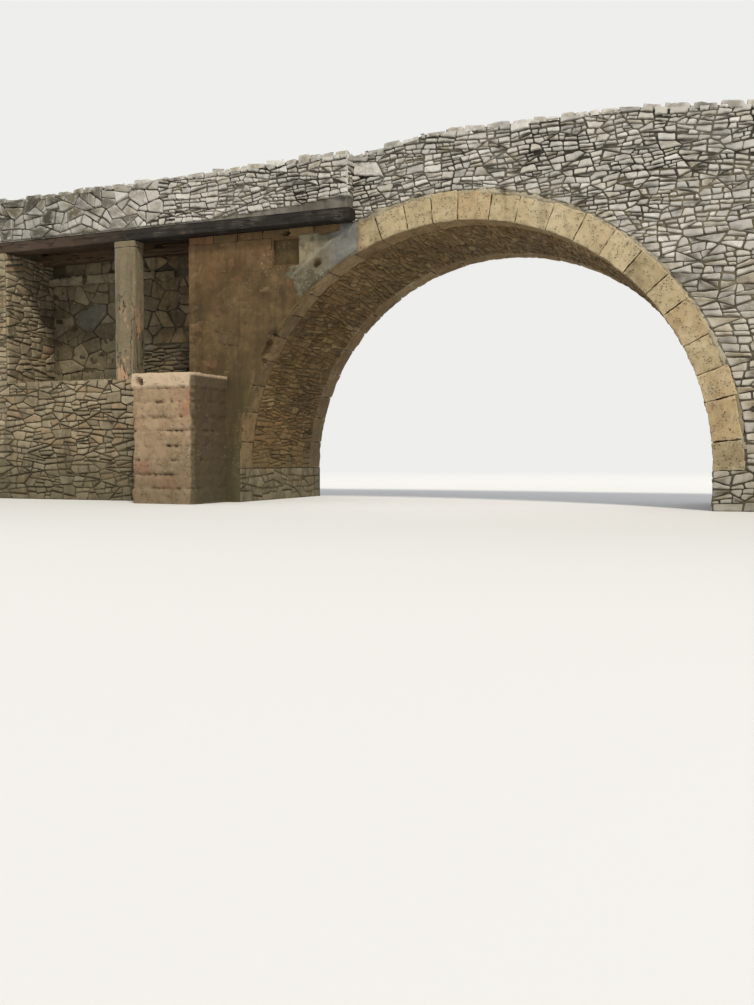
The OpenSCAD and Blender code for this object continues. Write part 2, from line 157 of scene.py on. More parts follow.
# Shader helpers
class Value:
    """A number, vector or colour in a shader, with the sums and blends that the finishes use."""

    def __init__(self, tree, socket):
        self.tree = tree
        self.socket = socket

    def maths(self, how, other=0.0, clamp=False):
        return add(self.tree, "Math", self, other, operation=how, use_clamp=clamp)

    def vector(self, how, *others, out=0):
        return add(self.tree, "VectorMath", self, *others, operation=how, out=out)

    def __add__(self, other):
        return self.maths("ADD", other)

    def __sub__(self, other):
        return self.maths("SUBTRACT", other)

    def __mul__(self, other):
        return self.maths("MULTIPLY", other)

    def __abs__(self):
        return self.maths("ABSOLUTE")

    def ramp(self, low, high, to_low=0.0, to_high=1.0):
        """A smooth change from one value to another between two limits."""
        return add(self.tree, "MapRange", self, low, high, to_low, to_high, interpolation_type="SMOOTHSTEP")

    def mix(self, amount, other):
        """This colour with some amount of another."""
        return blend(self.tree, amount, self, other)

    def stain(self, amount, factors):
        """This colour, by some amount multiplied by factors for red, green and blue."""
        return blend(self.tree, amount, self, factors, "MULTIPLY")

    def stretched(self, *factors):
        return self.vector("MULTIPLY", factors)

    def noise(self, scale, detail=4.0, rough=0.55, twist=0.0, out=0):
        return add(self.tree, "TexNoise", Vector=self, Scale=scale, Detail=detail, Roughness=rough,
                   Distortion=twist, out=out)

    def cells(self, scale):
        """How far a point is from the nearest of many scattered middles."""
        return add(self.tree, "TexVoronoi", Vector=self, Scale=scale, out="Distance")

    def parts(self):
        """X, Y and Z apart."""
        split = add(self.tree, "SeparateXYZ", self)
        return [Value(self.tree, socket) for socket in split.socket.node.outputs]


def add(tree, kind, *inputs, out=0, **values):
    """A node of some kind, its sockets set or linked in order or by name, its settings by name."""
    node = tree.nodes.new("ShaderNode" + kind)
    for key, value in values.items():
        if key[0].islower():
            setattr(node, key, value)
        else:
            put(tree, node.inputs[key], value)
    for socket, value in zip(node.inputs, inputs):
        put(tree, socket, value)
    return Value(tree, node.outputs[out])


def put(tree, socket, value):
    """Links a value to a socket, or sets the socket to a plain number or colour."""
    if isinstance(value, Value):
        tree.links.new(value.socket, socket)
    elif socket.type == "RGBA":
        socket.default_value = (*value, 1)
    else:
        socket.default_value = value


def blend(tree, amount, a, b, how="MIX"):
    """Two colours mixed in one of Blender's ways."""
    node = tree.nodes.new("ShaderNodeMix")
    node.data_type = "RGBA"
    node.blend_type = how
    for place, value in ((0, amount), (6, a), (7, b)):
        put(tree, node.inputs[place], value)
    return Value(tree, node.outputs[2])


def group(name, inputs, outputs, build):
    """A shader node group with named sockets: an input with no value takes a vector."""
    tree = bpy.data.node_groups.new(name, "ShaderNodeTree")
    for label, value in inputs.items():
        kind = "Vector" if value is None else "Color" if isinstance(value, tuple) else "Float"
        socket = tree.interface.new_socket(name=label, in_out="INPUT", socket_type="NodeSocket" + kind)
        if value is not None:
            socket.default_value = (*value, 1) if kind == "Color" else value
    for label in outputs:
        kind = "Color" if label == "Colour" else "Float"
        tree.interface.new_socket(name=label, in_out="OUTPUT", socket_type="NodeSocket" + kind)
    entry = tree.nodes.new("NodeGroupInput")
    leave = tree.nodes.new("NodeGroupOutput")
    got = {label: Value(tree, entry.outputs[label]) for label in inputs}
    for label, value in zip(outputs, build(tree, got)):
        put(tree, leave.inputs[label], value)
    return tree


def use(tree, shared, **values):
    """The outputs of a shared effect, in order."""
    node = tree.nodes.new("ShaderNodeGroup")
    node.node_tree = shared
    for key, value in values.items():
        put(tree, node.inputs[key], value)
    return [Value(tree, socket) for socket in node.outputs]


# Shared effects
def build_grain(tree, got):
    """A shade of coarse and fine grain, scattered pits, and the height of both."""
    at = got["Vector"].vector("DIVIDE", got["Size"])
    coarse = at.noise(1.0, 5.0, 0.6)
    fine = at.noise(7.0, 3.0, 0.6)
    bent = at.noise(2.6, 3.0, 0.5, out="Color").vector("MULTIPLY_ADD", (0.5, 0.5, 0.5), at)
    large = bent.cells(3.2).ramp(0.1, 0.34, 1, 0) * coarse.ramp(0.46, 0.56)
    small = bent.cells(8.3).ramp(0.1, 0.3, 0.7, 0) * coarse.ramp(0.5, 0.62)
    pits = large.maths("MAXIMUM", small)
    return coarse * 0.7 + fine * 0.3, pits, coarse * 0.6 + fine * 0.25 - pits * got["Pitting"]


def build_tints(tree, got):
    """Stone by stone colour: dark, middle and light kinds, some warm."""
    tint, warmth = (add(tree, "Attribute", attribute_name=name, out="Fac") for name in ("tint", "warmth"))
    level = tint * 0.72 + got["Vector"].noise(1.7).ramp(0.3, 0.7) * 0.28
    colour = got["Dark"].mix(level.ramp(0.0, 0.5), got["Middle"]).mix(level.ramp(0.5, 1.0), got["Light"])
    return [colour.mix(warmth.ramp(0.55, 0.95) * 0.75, got["Warm"])]


def build_weather(tree, got):
    """Streaks of dirt under edges, pale lichen spots and a damp green foot."""
    at = got["Vector"]
    down = at.stretched(5.0, 5.0, 0.45).noise(1.0, 4.0, 0.62)
    streak = down.ramp(0.48, 0.68) * at.noise(0.55, 3.0).ramp(0.38, 0.6)
    colour = got["Colour"].mix(streak * got["Streaks"], got["Dirt"])
    spot = at.cells(13.0).ramp(0.16, 0.3, 1, 0) * at.noise(1.6, 3.0).ramp(0.52, 0.64)
    colour = colour.mix(spot * got["Lichen"], paint(198, 194, 178))
    foot = at.parts()[2] + at.noise(1.1) * -0.9
    return [colour.mix(foot.ramp(-0.4, 1.1, 1, 0) * got["Damp"], paint(72, 69, 48))]


def build_edges(tree, got):
    """Corners rubbed paler and hollows holding dirt."""
    sharp = add(tree, "NewGeometry", out="Pointiness")
    colour = got["Colour"].mix(sharp.ramp(0.51, 0.58) * got["Amount"], got["Pale"])
    return [colour.mix(sharp.ramp(0.42, 0.49, 1, 0) * got["Amount"], got["Dirt"])]


def build_timber(tree, got):
    """Long fibres, checks and worn soft wood, along X."""
    twist = got["Vector"].noise(1.2, 3.0)
    at = got["Vector"].vector("ADD", add(tree, "CombineXYZ", 0.0, twist * 0.12, twist * 0.16))
    fibre = at.stretched(1.2, 42.0, 42.0).noise(1.0, 5.0, 0.65)
    check = at.stretched(0.7, 13.0, 13.0).noise(1.0, 2.0, 0.5)
    split = abs(check - 0.5).ramp(0.0, 0.022, 1, 0)
    return fibre, split, fibre - split * 0.9


GREY = (0.5, 0.5, 0.5)
DIRT = (0.05, 0.04, 0.03)
GRAIN = group("Stone grain", dict(Vector=None, Size=0.1, Pitting=0.3),
              ("Shade", "Pits", "Height"), build_grain)
TINTS = group("Stone tints", dict(Vector=None, Dark=DIRT, Middle=GREY, Light=GREY, Warm=GREY),
              ("Colour",), build_tints)
WEATHER = group("Weathering", dict(Colour=GREY, Vector=None, Streaks=0.4, Lichen=0.3, Damp=0.5, Dirt=DIRT),
                ("Colour",), build_weather)
EDGES = group("Worn edges", dict(Colour=GREY, Pale=GREY, Dirt=DIRT, Amount=0.5), ("Colour",), build_edges)
TIMBER = group("Timber grain", dict(Vector=None), ("Fibre", "Splits", "Height"), build_timber)


# Kinds of finish
def plain_start(name, shine=0.25):
    """A new material, its tree, and the place in the model."""
    material = bpy.data.materials.new(name)
    material.use_nodes = True
    tree = material.node_tree
    put(tree, tree.nodes["Principled BSDF"].inputs["Specular IOR Level"], shine)
    return material, tree, add(tree, "TexCoord", out="Object")


def finish_coat(material, colour, rough, height, strength, distance):
    """Puts colour, roughness and bumps on a material."""
    tree = material.node_tree
    bump = add(tree, "Bump", Strength=strength, Distance=distance, Height=height)
    for label, value in (("Base Color", colour), ("Roughness", rough), ("Normal", bump)):
        put(tree, tree.nodes["Principled BSDF"].inputs[label], value)
    return material


def stone_finish(name, dark, middle, light, warm, dirt, grain, streaks, lichen, damp, worn, pitting=0.35,
                 bump=0.012, tone=None):
    """A finish for laid stones, each with its own tint."""
    material, tree, at = plain_start(name)
    dark, middle, light, warm, dirt = (paint(*colour) for colour in (dark, middle, light, warm, dirt))
    shade, pits, height = use(tree, GRAIN, Vector=at, Size=grain, Pitting=pitting)
    [colour] = use(tree, TINTS, Vector=at, Dark=dark, Middle=middle, Light=light, Warm=warm)
    colour = colour.stain(shade.ramp(0.3, 0.72, 0.0, 0.55), (0.62, 0.6, 0.56))
    if tone:
        colour = tone(at, colour)
    colour = colour.mix(pits * 0.7, dirt)
    [colour] = use(tree, EDGES, Colour=colour, Pale=colour.mix(0.5, light), Dirt=dirt, Amount=worn)
    [colour] = use(tree, WEATHER, Colour=colour, Vector=at, Streaks=streaks, Lichen=lichen, Damp=damp,
                   Dirt=dirt)
    return finish_coat(material, colour, shade.ramp(0.3, 0.7, 0.82, 0.96), height, 0.75, bump)


def mortar_finish(name, dark, light, grain=0.05, streaks=0.4, damp=0.5, tone=None, bump=0.01):
    """A finish for mortar, render and earth: two colours in soft patches."""
    material, tree, at = plain_start(name)
    shade, _, height = use(tree, GRAIN, Vector=at, Size=grain, Pitting=0.5)
    colour = blend(tree, at.noise(1.3, 5.0, 0.6).ramp(0.35, 0.65), paint(*dark), paint(*light))
    colour = colour.stain(shade.ramp(0.35, 0.7, 0.0, 0.5), (0.55, 0.53, 0.5))
    if tone:
        colour = tone(at, colour)
    [colour] = use(tree, WEATHER, Colour=colour, Vector=at, Streaks=streaks, Lichen=0.1, Damp=damp,
                   Dirt=paint(52, 45, 34))
    return finish_coat(material, colour, 0.95, height, 0.8, bump)


def timber_finish(name, dark, light, spots):
    """A finish for old timber, browner towards its left end."""
    material, tree, at = plain_start(name)
    fibre, splits, height = use(tree, TIMBER, Vector=at)
    colour = blend(tree, fibre.ramp(0.32, 0.68), paint(*dark), paint(*light))
    pale = at.noise(2.3).ramp(0.5, 0.66) * fibre.ramp(0.4, 0.6)
    colour = colour.mix(pale * 0.7, paint(*spots))
    colour = colour.mix(at.parts()[0].ramp(-8.0, -5.6, 0.55, 0.0), paint(84, 66, 48))
    colour = colour.mix(splits, paint(12, 10, 8))
    return finish_coat(material, colour, fibre.ramp(0.3, 0.7, 0.7, 0.92), height, 0.8, 0.006)


def floor_finish():
    """Pale and plain, turning into the backdrop far out."""
    material, tree, at = plain_start("pale_floor", shine=0.5)
    coat = tree.nodes["Principled BSDF"]
    put(tree, coat.inputs["Base Color"], paint(226, 225, 221))
    put(tree, coat.inputs["Roughness"], 0.9)
    amount = at.vector("LENGTH", out="Value").ramp(16.0, 46.0) * add(tree, "LightPath", out="Is Camera Ray")
    glow = add(tree, "Emission", Color=BACKDROP, Strength=1.0)
    surface = add(tree, "MixShader", amount, Value(tree, coat.outputs[0]), glow)
    put(tree, tree.nodes["Material Output"].inputs["Surface"], surface)
    return material


# The finishes of this bridge
def parapet_tone(at, colour):
    """Darker and more olive at the far left, painted shade where the parapet stands in shade; paler over the
    arch, browner low on the walls.
    """
    x, y, z = at.parts()
    # Painted shade: the far left darkened, less so on the upstream side
    far = (x + at.noise(0.7, 3.0) * 1.6).ramp(-6.4, -4.4, 0.85, 0.0) * y.ramp(-0.6, 1.6, 1.0, 0.3)
    colour = colour.stain(far, (0.3, 0.285, 0.215))
    rise = z + at.noise(0.6) * 1.8
    return colour.stain(rise.ramp(2.2, 5.4, 0.85, 0.0), (0.78, 0.68, 0.53))


def ring_tone(at, colour):
    """Brown on the left haunch, partly weathering and partly painted shade; painted shade under the ring and
    in its broken places; golden over the arch, with pale washes, partly painted sunlight, and pits.
    """
    x, y, _ = at.parts()
    # Painted shade: the left haunch browned where the arch lies in shade, with some brown weathering
    brown = (x + at.noise(1.1, 3.0) * 0.5).ramp(-1.7, -1.3, 0.8, 0.0)
    colour = colour.stain(brown, (0.4, 0.33, 0.24))
    skin = y.ramp(FACE - 0.002, FACE + 0.022, 1, 0) * brown
    colour = colour.mix(skin, paint(88, 71, 46))
    # Pale washes only on the right, partly painted sunlight on the golden part
    pale = at.noise(2.6, 4.0, 0.6).ramp(0.5, 0.68) * x.ramp(-1.9, -1.4, 0.0, 0.35)
    colour = colour.mix(pale, paint(196, 184, 154))
    smoky = at.noise(0.8, 4.0, 0.6).ramp(0.52, 0.7)
    colour = colour.stain(smoky * 0.4, (0.62, 0.55, 0.45))
    hole = at.cells(27.0).ramp(0.14, 0.36, 0.6, 0) * at.noise(3.4, 3.0).ramp(0.42, 0.54)
    colour = colour.stain(hole, (0.5, 0.43, 0.33))
    # Painted shade: the ring's underside darker and browner, where shade falls under the arch
    underside_shade = y.ramp(FACE + 0.005, FACE + 0.05) * y.ramp(BACK - 0.05, BACK - 0.005, 1, 0)
    colour = colour.stain(underside_shade.maths("SUBTRACT", brown, clamp=True), (0.5, 0.42, 0.31))
    # Painted shade: dark brown in the sunk broken places and the small hollow
    for hole_x, hole_z, reach in (*BROKEN, HOLLOW):
        off = at.vector("DISTANCE", (hole_x, FACE, hole_z), out="Value") + (at.noise(6.0, 3.0) - 0.5) * 0.2
        colour = colour.mix(off.ramp(0.6 * reach, 1.15 * reach, 0.85, 0.0), paint(58, 44, 28))
    return colour


def abutment_tone(at, colour):
    """Redder under the beam, olive and damp low down, washed pale in places, with hanging streaks."""
    x, _, z = at.parts()
    rise = z + at.noise(0.9) * 1.5
    colour = colour.mix(rise.ramp(4.4, 5.3, 0.0, 0.5), paint(116, 88, 56))
    colour = colour.mix(rise.ramp(2.2, 3.9, 0.65, 0.0), paint(78, 72, 49))
    wash = at.stretched(2.2, 2.2, 1.5).noise(1.0, 5.0, 0.65).ramp(0.5, 0.66)
    colour = colour.mix(wash * 0.4, paint(124, 104, 72))
    fine = at.stretched(16.0, 16.0, 0.5).noise(1.0, 3.0, 0.6).ramp(0.5, 0.7)
    colour = colour.mix(fine * 0.18, paint(62, 50, 31))
    dark = at.noise(1.3, 5.0, 0.65, 0.4).ramp(0.5, 0.64)
    colour = colour.mix(dark * 0.45, paint(64, 52, 33))
    return colour.mix(x.ramp(FACE_END - 0.03, FACE_END), paint(104, 98, 84))


def smear_tone(at, colour):
    """Grey by the beam's end, cream by the niche, olive and dark between, with specks and a pale ridge."""
    x, _, z = at.parts()
    shift = x + at.noise(2.0) * 0.5
    colour = colour.mix(shift.ramp(-2.2, -1.75, 0.8, 0.0), paint(104, 95, 70))
    cream = shift.ramp(-2.35, -2.15, 1, 0) * z.ramp(4.02, 4.2)
    colour = colour.mix(cream * 0.8, paint(146, 136, 109))
    dark = at.noise(3.1, 5.0, 0.65).ramp(0.48, 0.6) * shift.ramp(-2.1, -1.6, 0.7, 0.35)
    colour = colour.mix(dark, paint(76, 70, 52))
    speck = at.cells(34.0).ramp(0.14, 0.34, 0.8, 0) * at.noise(7.0, 3.0).ramp(0.46, 0.56)
    colour = colour.mix(speck * z.ramp(3.95, 4.08, 1, 0), paint(182, 177, 160))
    out = add(at.tree, "CombineXYZ", x, 0.0, z - SPRINGING).vector("LENGTH", out="Value")
    ridge = abs(out - RIDGE + (at.noise(2.5, 3.0) - 0.5) * 0.2)
    return colour.mix(ridge.ramp(0.0, 0.05, 0.22, 0.0), paint(170, 168, 154))


def bay_tone(at, colour):
    """Olive beige on the left of the post, ochre and red brown on its right."""
    x, y, z = at.parts()
    shift = x + at.noise(1.4, 3.0) * 0.8
    colour = colour.stain(shift.ramp(POST[0] + 0.11, POST[1] + 0.11, 0.0, 0.7), (1.0, 0.79, 0.6))
    shelf = y.ramp(-0.05, -0.03, 1, 0) * z.ramp(4.15, 4.25)
    colour = colour.mix(shelf * 0.4, paint(160, 152, 124))
    grime = at.noise(1.1, 5.0, 0.65).ramp(0.48, 0.64)
    return colour.mix(grime * 0.5, paint(92, 84, 62))


def post_tone(at, colour):
    """Fallen patches with pinkish stone, dark cracks low down, painted bluish shade on the left corner and
    faint marks across.
    """
    x, _, z = at.parts()
    fallen = at.stretched(3.4, 3.4, 1.5).noise(1.0, 4.0, 0.6).ramp(0.53, 0.57) * z.ramp(3.05, 3.75, 1, 0)
    colour = colour.mix(fallen * 0.85, paint(176, 142, 112))
    level = at.stretched(3.4, 3.4, 1.1).noise(1.0, 5.0, 0.6, 0.6) - 0.5
    crack = abs(level).ramp(0.006, 0.02, 1, 0) * z.ramp(3.6, 4.0, 1, 0)
    colour = colour.mix(crack * 0.9, paint(48, 39, 29))
    # Painted shade: a bluish grey on the left corner, the side that lies in shade
    edge = x + at.noise(4.0, 3.0) * 0.06
    colour = colour.mix(edge.ramp(POST[0] + 0.09, POST[0] + 0.14, 0.4, 0.0), paint(136, 136, 126))
    mark = at.stretched(2.5, 2.5, 26.0).noise(1.0, 3.0, 0.6).ramp(0.56, 0.66)
    return colour.mix(mark * x.ramp(POST[0] + 0.23, POST[0] + 0.31, 0, 0.5), paint(108, 92, 68))


def pedestal_tone(at, colour):
    """Course by course: pale top, pink and brick red below, the right side under brown render, darkened
    further as painted shade.
    """
    x, y, z = at.parts()
    bent = z + (at.noise(4.0, 4.0, 0.6) - 0.5) * 0.14
    course = (bent * (PEDESTAL_COURSES / BAY_FLOOR)).maths("FLOOR")
    brick = add(at.tree, "CombineXYZ", x * 1.3, y * 1.3, course * 5.3).noise(1.0, 4.0, 0.65).ramp(0.46, 0.64)
    colour = colour.mix(brick * 0.6, paint(148, 100, 78))
    olive = at.noise(1.6, 4.0, 0.6).ramp(0.5, 0.64)
    colour = colour.mix(olive * 0.55, paint(126, 108, 80))
    top = z - BAY_FLOOR
    colour = colour.mix(top.ramp(-0.28, -0.21, 0.0, 0.75), paint(198, 178, 150))
    # The right side: brown render, with painted shade on that side
    side = (x - PEDESTAL[1] + at.noise(3.0) * 0.12).ramp(-0.03, 0.02) * top.ramp(-0.07, -0.03, 1, 0.3)
    colour = colour.mix(side * 0.92, paint(66, 55, 37))
    streak = at.stretched(7.0, 7.0, 0.6).noise(1.0, 3.0, 0.6).ramp(0.48, 0.66)
    return colour.mix(streak * (side * 0.5), paint(84, 66, 46))


def make_finishes():
    ring = dict(dark=(151, 134, 102), middle=(184, 167, 131), light=(213, 197, 163), warm=(181, 157, 119),
                dirt=(80, 63, 41), grain=0.12, pitting=1.5, streaks=0.35, damp=0.3, bump=0.034,
                tone=ring_tone)
    return dict(
        ring=stone_finish("ring_sandstone", lichen=0.25, worn=0.8, **ring),
        # A shaded copy of the ring's finish, with fewer pale worn edges: painted shade on the left part of
        # the arch
        shaded_left_ring=stone_finish("shaded_left_ring_sandstone", lichen=0.2, worn=0.2, **ring),
        parapet=stone_finish("parapet_limestone", (104, 100, 91), (160, 156, 146), (219, 216, 208),
                             (170, 161, 141), (52, 47, 38), grain=0.08, streaks=0.25, lichen=0.4, damp=0.35,
                             worn=0.9, tone=parapet_tone),
        wall=stone_finish("wall_rubble", (104, 94, 74), (138, 126, 102), (168, 156, 130), (142, 118, 88),
                          (60, 51, 38), grain=0.1, streaks=0.5, lichen=0.4, damp=0.6, worn=0.5),
        # Painted shade, in part: the abutment's blocks are darker than their own ochre, for the shade the
        # abutment stands in
        abutment=stone_finish("abutment_blocks", (80, 63, 41), (98, 80, 54), (117, 99, 70), (104, 75, 51),
                              (64, 51, 34), grain=0.12, streaks=0.75, lichen=0.15, damp=0.8, worn=0.3,
                              tone=abutment_tone),
        bearing=stone_finish("bearing_blocks", (92, 74, 47), (116, 94, 62), (136, 115, 82), (122, 82, 57),
                             (64, 51, 34), grain=0.08, streaks=0.5, lichen=0.15, damp=0.0, worn=0.5),
        bay=stone_finish("bay_stones", (94, 86, 65), (120, 110, 86), (146, 135, 109), (104, 103, 94),
                         (56, 49, 36), grain=0.1, streaks=0.6, lichen=0.25, damp=0.0, worn=0.5,
                         tone=bay_tone),
        vault=stone_finish("vault_rubble", (84, 67, 39), (111, 91, 57), (144, 122, 83), (120, 90, 54),
                           (66, 52, 31), grain=0.06, streaks=0.35, lichen=0.1, damp=0.5, worn=0.3),
        pedestal=stone_finish("pedestal_courses", (134, 112, 86), (161, 138, 110), (185, 165, 137),
                              (156, 121, 95), (80, 62, 44), grain=0.12, pitting=1.1, streaks=0.15,
                              lichen=0.25, damp=0.5, worn=0.7, bump=0.02, tone=pedestal_tone),
        post=stone_finish("post_render", (108, 98, 76), (126, 115, 91), (144, 133, 109), (126, 108, 80),
                          (66, 57, 43), grain=0.05, pitting=0.3, streaks=0.6, lichen=0.15, damp=0.0,
                          worn=0.5, bump=0.008, tone=post_tone),
        wall_mortar=mortar_finish("wall_mortar", (84, 77, 62), (126, 117, 97)),
        # Painted shade, in part: the abutment's joints and the niche's back darkened like its blocks
        abutment_mortar=mortar_finish("abutment_mortar", (72, 56, 35), (102, 82, 53), streaks=0.7,
                                      tone=abutment_tone),
        niche=mortar_finish("niche_back", (68, 55, 33), (91, 75, 47), streaks=0.7),
        parapet_mortar=mortar_finish("parapet_mortar", (50, 46, 39), (114, 108, 95), damp=0.0),
        bay_mortar=mortar_finish("bay_mortar", (62, 54, 40), (92, 82, 61), damp=0.0),
        vault_mortar=mortar_finish("vault_mortar", (74, 59, 36), (104, 84, 53)),
        ring_mortar=mortar_finish("ring_joints", (94, 76, 50), (132, 112, 78), damp=0.2, tone=ring_tone),
        bed=mortar_finish("bed_mortar", (98, 93, 84), (130, 125, 114), grain=0.03, damp=0.0, bump=0.004),
        smear=mortar_finish("smeared_mortar", (106, 105, 98), (136, 135, 127), grain=0.07, damp=0.0,
                            streaks=0.3, tone=smear_tone, bump=0.02),
        back_bead=mortar_finish("crumbling_bed", (136, 124, 98), (184, 174, 150), grain=0.03, damp=0.0,
                                streaks=0.3),
        # Painted shade, in part: the ochre render darkened like the abutment's blocks
        film=mortar_finish("ochre_render", (74, 58, 36), (108, 88, 58), grain=0.12, streaks=0.5, damp=0.55,
                           tone=abutment_tone, bump=0.012),
        road=mortar_finish("trodden_gravel", (124, 112, 91), (144, 132, 109), grain=0.025, damp=0.0,
                           streaks=0.0, bump=0.008),
        timber=timber_finish("old_timber", (25, 21, 18), (46, 40, 34), (92, 85, 75)),
        rear_timber=timber_finish("rear_timber", (58, 44, 31), (96, 76, 54), (120, 106, 86)),
    )


# Laying out stones
def clipped(outline, a, b, c):
    """The part of an outline where a*u + b*v is at most c."""
    kept = []
    for p, q in zip(outline, outline[1:] + outline[:1]):
        dp, dq = a * p[0] + b * p[1] - c, a * q[0] + b * q[1] - c
        if dp <= 0:
            kept.append(p)
        if dp * dq < 0:
            t = dp / (dp - dq)
            kept.append((p[0] + t * (q[0] - p[0]), p[1] + t * (q[1] - p[1])))
    return kept


def area(outline):
    return 0.5 * sum(p[0] * q[1] - q[0] * p[1] for p, q in zip(outline, outline[1:] + outline[:1]))


def inside(u0, u1, v0, v1):
    """Keeps stones within a rectangle."""
    def holds(m):
        return u0 < m[0] < u1 and v0 < m[1] < v1

    def trim(outline, m):
        for side in ((-1, 0, -u0), (1, 0, u1), (0, -1, -v0), (0, 1, v1)):
            outline = clipped(outline, *side)
        return outline
    return holds, trim


def outside(u0, u1, v0, v1):
    """Keeps stones out of a rectangle, such as a niche."""
    holds_in, trim_in = inside(u0, u1, v0, v1)

    def trim(outline, m):
        overlap = trim_in(outline, m)
        if len(overlap) < 3 or area(overlap) < 1e-6:
            return outline
        beside = (u0 - m[0], (1, 0, u0)), (m[0] - u1, (-1, 0, -u1))
        over = (v0 - m[1], (0, 1, v0)), (m[1] - v1, (0, -1, -v1))
        return clipped(outline, *max(beside + over)[1])
    return lambda m: not holds_in(m), trim


def clear_of_arch():
    """Keeps stones off the ring's round back above the springing, and out of the way below it."""
    back = RING_BACK + 0.004

    def holds(m):
        return math.hypot(m[0], m[1] - SPRINGING) > back if m[1] > SPRINGING else abs(m[0]) > RADIUS

    def trim(outline, m):
        if m[1] > SPRINGING:
            far = math.hypot(m[0], m[1] - SPRINGING)
            a, b = m[0] / far, (m[1] - SPRINGING) / far
            return clipped(outline, -a, -b, -(back + b * SPRINGING))
        outline = clipped(outline, -math.copysign(1, m[0]), 0, -RADIUS)
        return clipped(outline, 0, 1, SPRINGING - 0.006) if len(outline) > 2 else outline
    return holds, trim


def under(top):
    """Keeps stones below a line that changes along the wall."""
    def trim(outline, m):
        slope = (top(m[0] + 0.1) - top(m[0] - 0.1)) / 0.2
        size = math.hypot(slope, 1)
        return clipped(outline, -slope / size, 1 / size, (top(m[0]) - slope * m[0]) / size)
    return lambda m: m[1] < top(m[0]), trim


def above(bed, joint=0.006):
    """Keeps stones over a nearly level line."""
    return lambda m: m[1] > bed(m[0]), lambda outline, m: clipped(outline, 0, -1, -(bed(m[0]) + joint))


def grown(box, margin):
    """A rectangle with a margin on all sides."""
    return box[0] - margin, box[1] + margin, box[2] - margin, box[3] + margin


def courses(chance, u, v, size, wander=0.22, uneven=0.35):
    """Middles of stones laid in rough courses over a field."""
    middles = []
    z = v[0]
    while z < v[1]:
        rise = size[1] * (1 + uneven * chance.uniform(-1, 1))
        x = u[0] - size[0] * chance.random()
        while x < u[1]:
            long = size[0] * (1 + 1.4 * uneven * chance.uniform(-1, 1))
            middles.append((x + long / 2, z + rise / 2 + wander * rise * chance.uniform(-1, 1)))
            x += long
        z += rise
    return middles


def cut_stones(middles, flat, joint, limits, reach, smallest):
    """The outline of each stone: nearer to its own middle than to any other, less half a joint."""
    middles = [m for m in middles if all(holds(m) for holds, _ in limits)]
    cells = [(math.floor(m[0] / reach), math.floor(m[1] * flat / reach)) for m in middles]
    grid = {}
    for i, cell in enumerate(cells):
        grid.setdefault(cell, []).append(i)
    r = 0.5 * reach
    stones = []
    for i, (m, (gu, gv)) in enumerate(zip(middles, cells)):
        around = [(gu + du, gv + dv) for du in (-1, 0, 1) for dv in (-1, 0, 1)]
        near = [j for cell in around for j in grid.get(cell, ()) if j != i]
        near.sort(key=lambda j: (middles[j][0] - m[0]) ** 2 + (flat * (middles[j][1] - m[1])) ** 2)
        outline = [(m[0] + su * r, m[1] + sv * r / flat) for su, sv in ((-1, -1), (1, -1), (1, 1), (-1, 1))]
        for o in (middles[j] for j in near[:22]):
            a, b = o[0] - m[0], flat * flat * (o[1] - m[1])
            size = math.hypot(a, b)
            if size < 1e-6:
                continue
            c = (a * (m[0] + o[0]) + b * (m[1] + o[1])) / 2
            outline = clipped(outline, a / size, b / size, c / size - joint / 2)
            if len(outline) < 3:
                break
        for _, trim in limits:
            if len(outline) >= 3:
                outline = trim(outline, m)
        if stout(outline, smallest):
            stones.append(outline)
    return stones


def stout(outline, smallest, thick=0.017):
    """Whether an outline is large and thick enough to be a stone."""
    if len(outline) < 3 or area(outline) < smallest:
        return False
    around = sum(math.dist(p, q) for p, q in zip(outline, outline[1:] + outline[:1]))
    return 2 * area(outline) / around > thick


def broken_up(outline, chance, size, joint, lean):
    """Random rubble: an outline cut across and along, leaning a little, until each part is small enough."""
    c, s = math.cos(lean), math.sin(lean)
    along = [c * p[0] + s * p[1] for p in outline]
    up = [c * p[1] - s * p[0] for p in outline]
    wide, tall = (max(along) - min(along)) / size[0], (max(up) - min(up)) / size[1]
    if max(wide, tall) < chance.uniform(1.0, 2.3):
        return [outline]
    turn = lean + (math.pi / 2 + chance.uniform(-0.14, 0.14) if tall > wide else chance.uniform(-0.42, 0.42))
    a, b = math.cos(turn), math.sin(turn)
    reach = [a * p[0] + b * p[1] for p in outline]
    cut = min(reach) + (max(reach) - min(reach)) * chance.uniform(0.34, 0.66)
    gap = joint * chance.choice((0.35, 0.7, 1.0, 1.7)) / 2
    halves = clipped(outline, a, b, cut - gap), clipped(outline, -a, -b, -(cut + gap))
    return [part for half in halves if len(half) > 2 for part in broken_up(half, chance, size, joint, lean)]


def knocked_off(outline, chance, soft, step, rough):
    """An outline with its corners knocked off and its edges made to wander."""
    least = max(0.3 * soft, 0.009)
    corners = []
    for p in outline:
        if not corners or math.dist(p, corners[-1]) > least:
            corners.append(p)
    if math.dist(corners[0], corners[-1]) < least:
        corners.pop()
    points = []
    for p, q in zip(corners, corners[1:] + corners[:1]):
        long = math.dist(p, q)
        cut = min(soft * chance.uniform(0.6, 1.3), 0.32 * long)
        extra = int((long - 2 * cut) / step)
        for k in range(extra + 2):
            t = (cut + (long - 2 * cut) * k / (extra + 1)) / long
            off = chance.uniform(-rough, rough) if 0 < k <= extra else 0
            du, dv = q[0] - p[0], q[1] - p[1]
            points.append((p[0] + t * du - off * dv / long, p[1] + t * dv + off * du / long))
    return points


def shrunk(outline, chance, most):
    """An outline drawn in a little about its middle, so that joints differ in width."""
    u, v = (sum(p[i] for p in outline) / len(outline) for i in (0, 1))
    a, b = 1 - most * chance.random() ** 2, 1 - most * chance.random() ** 2
    return [(u + a * (p[0] - u), v + b * (p[1] - v)) for p in outline]


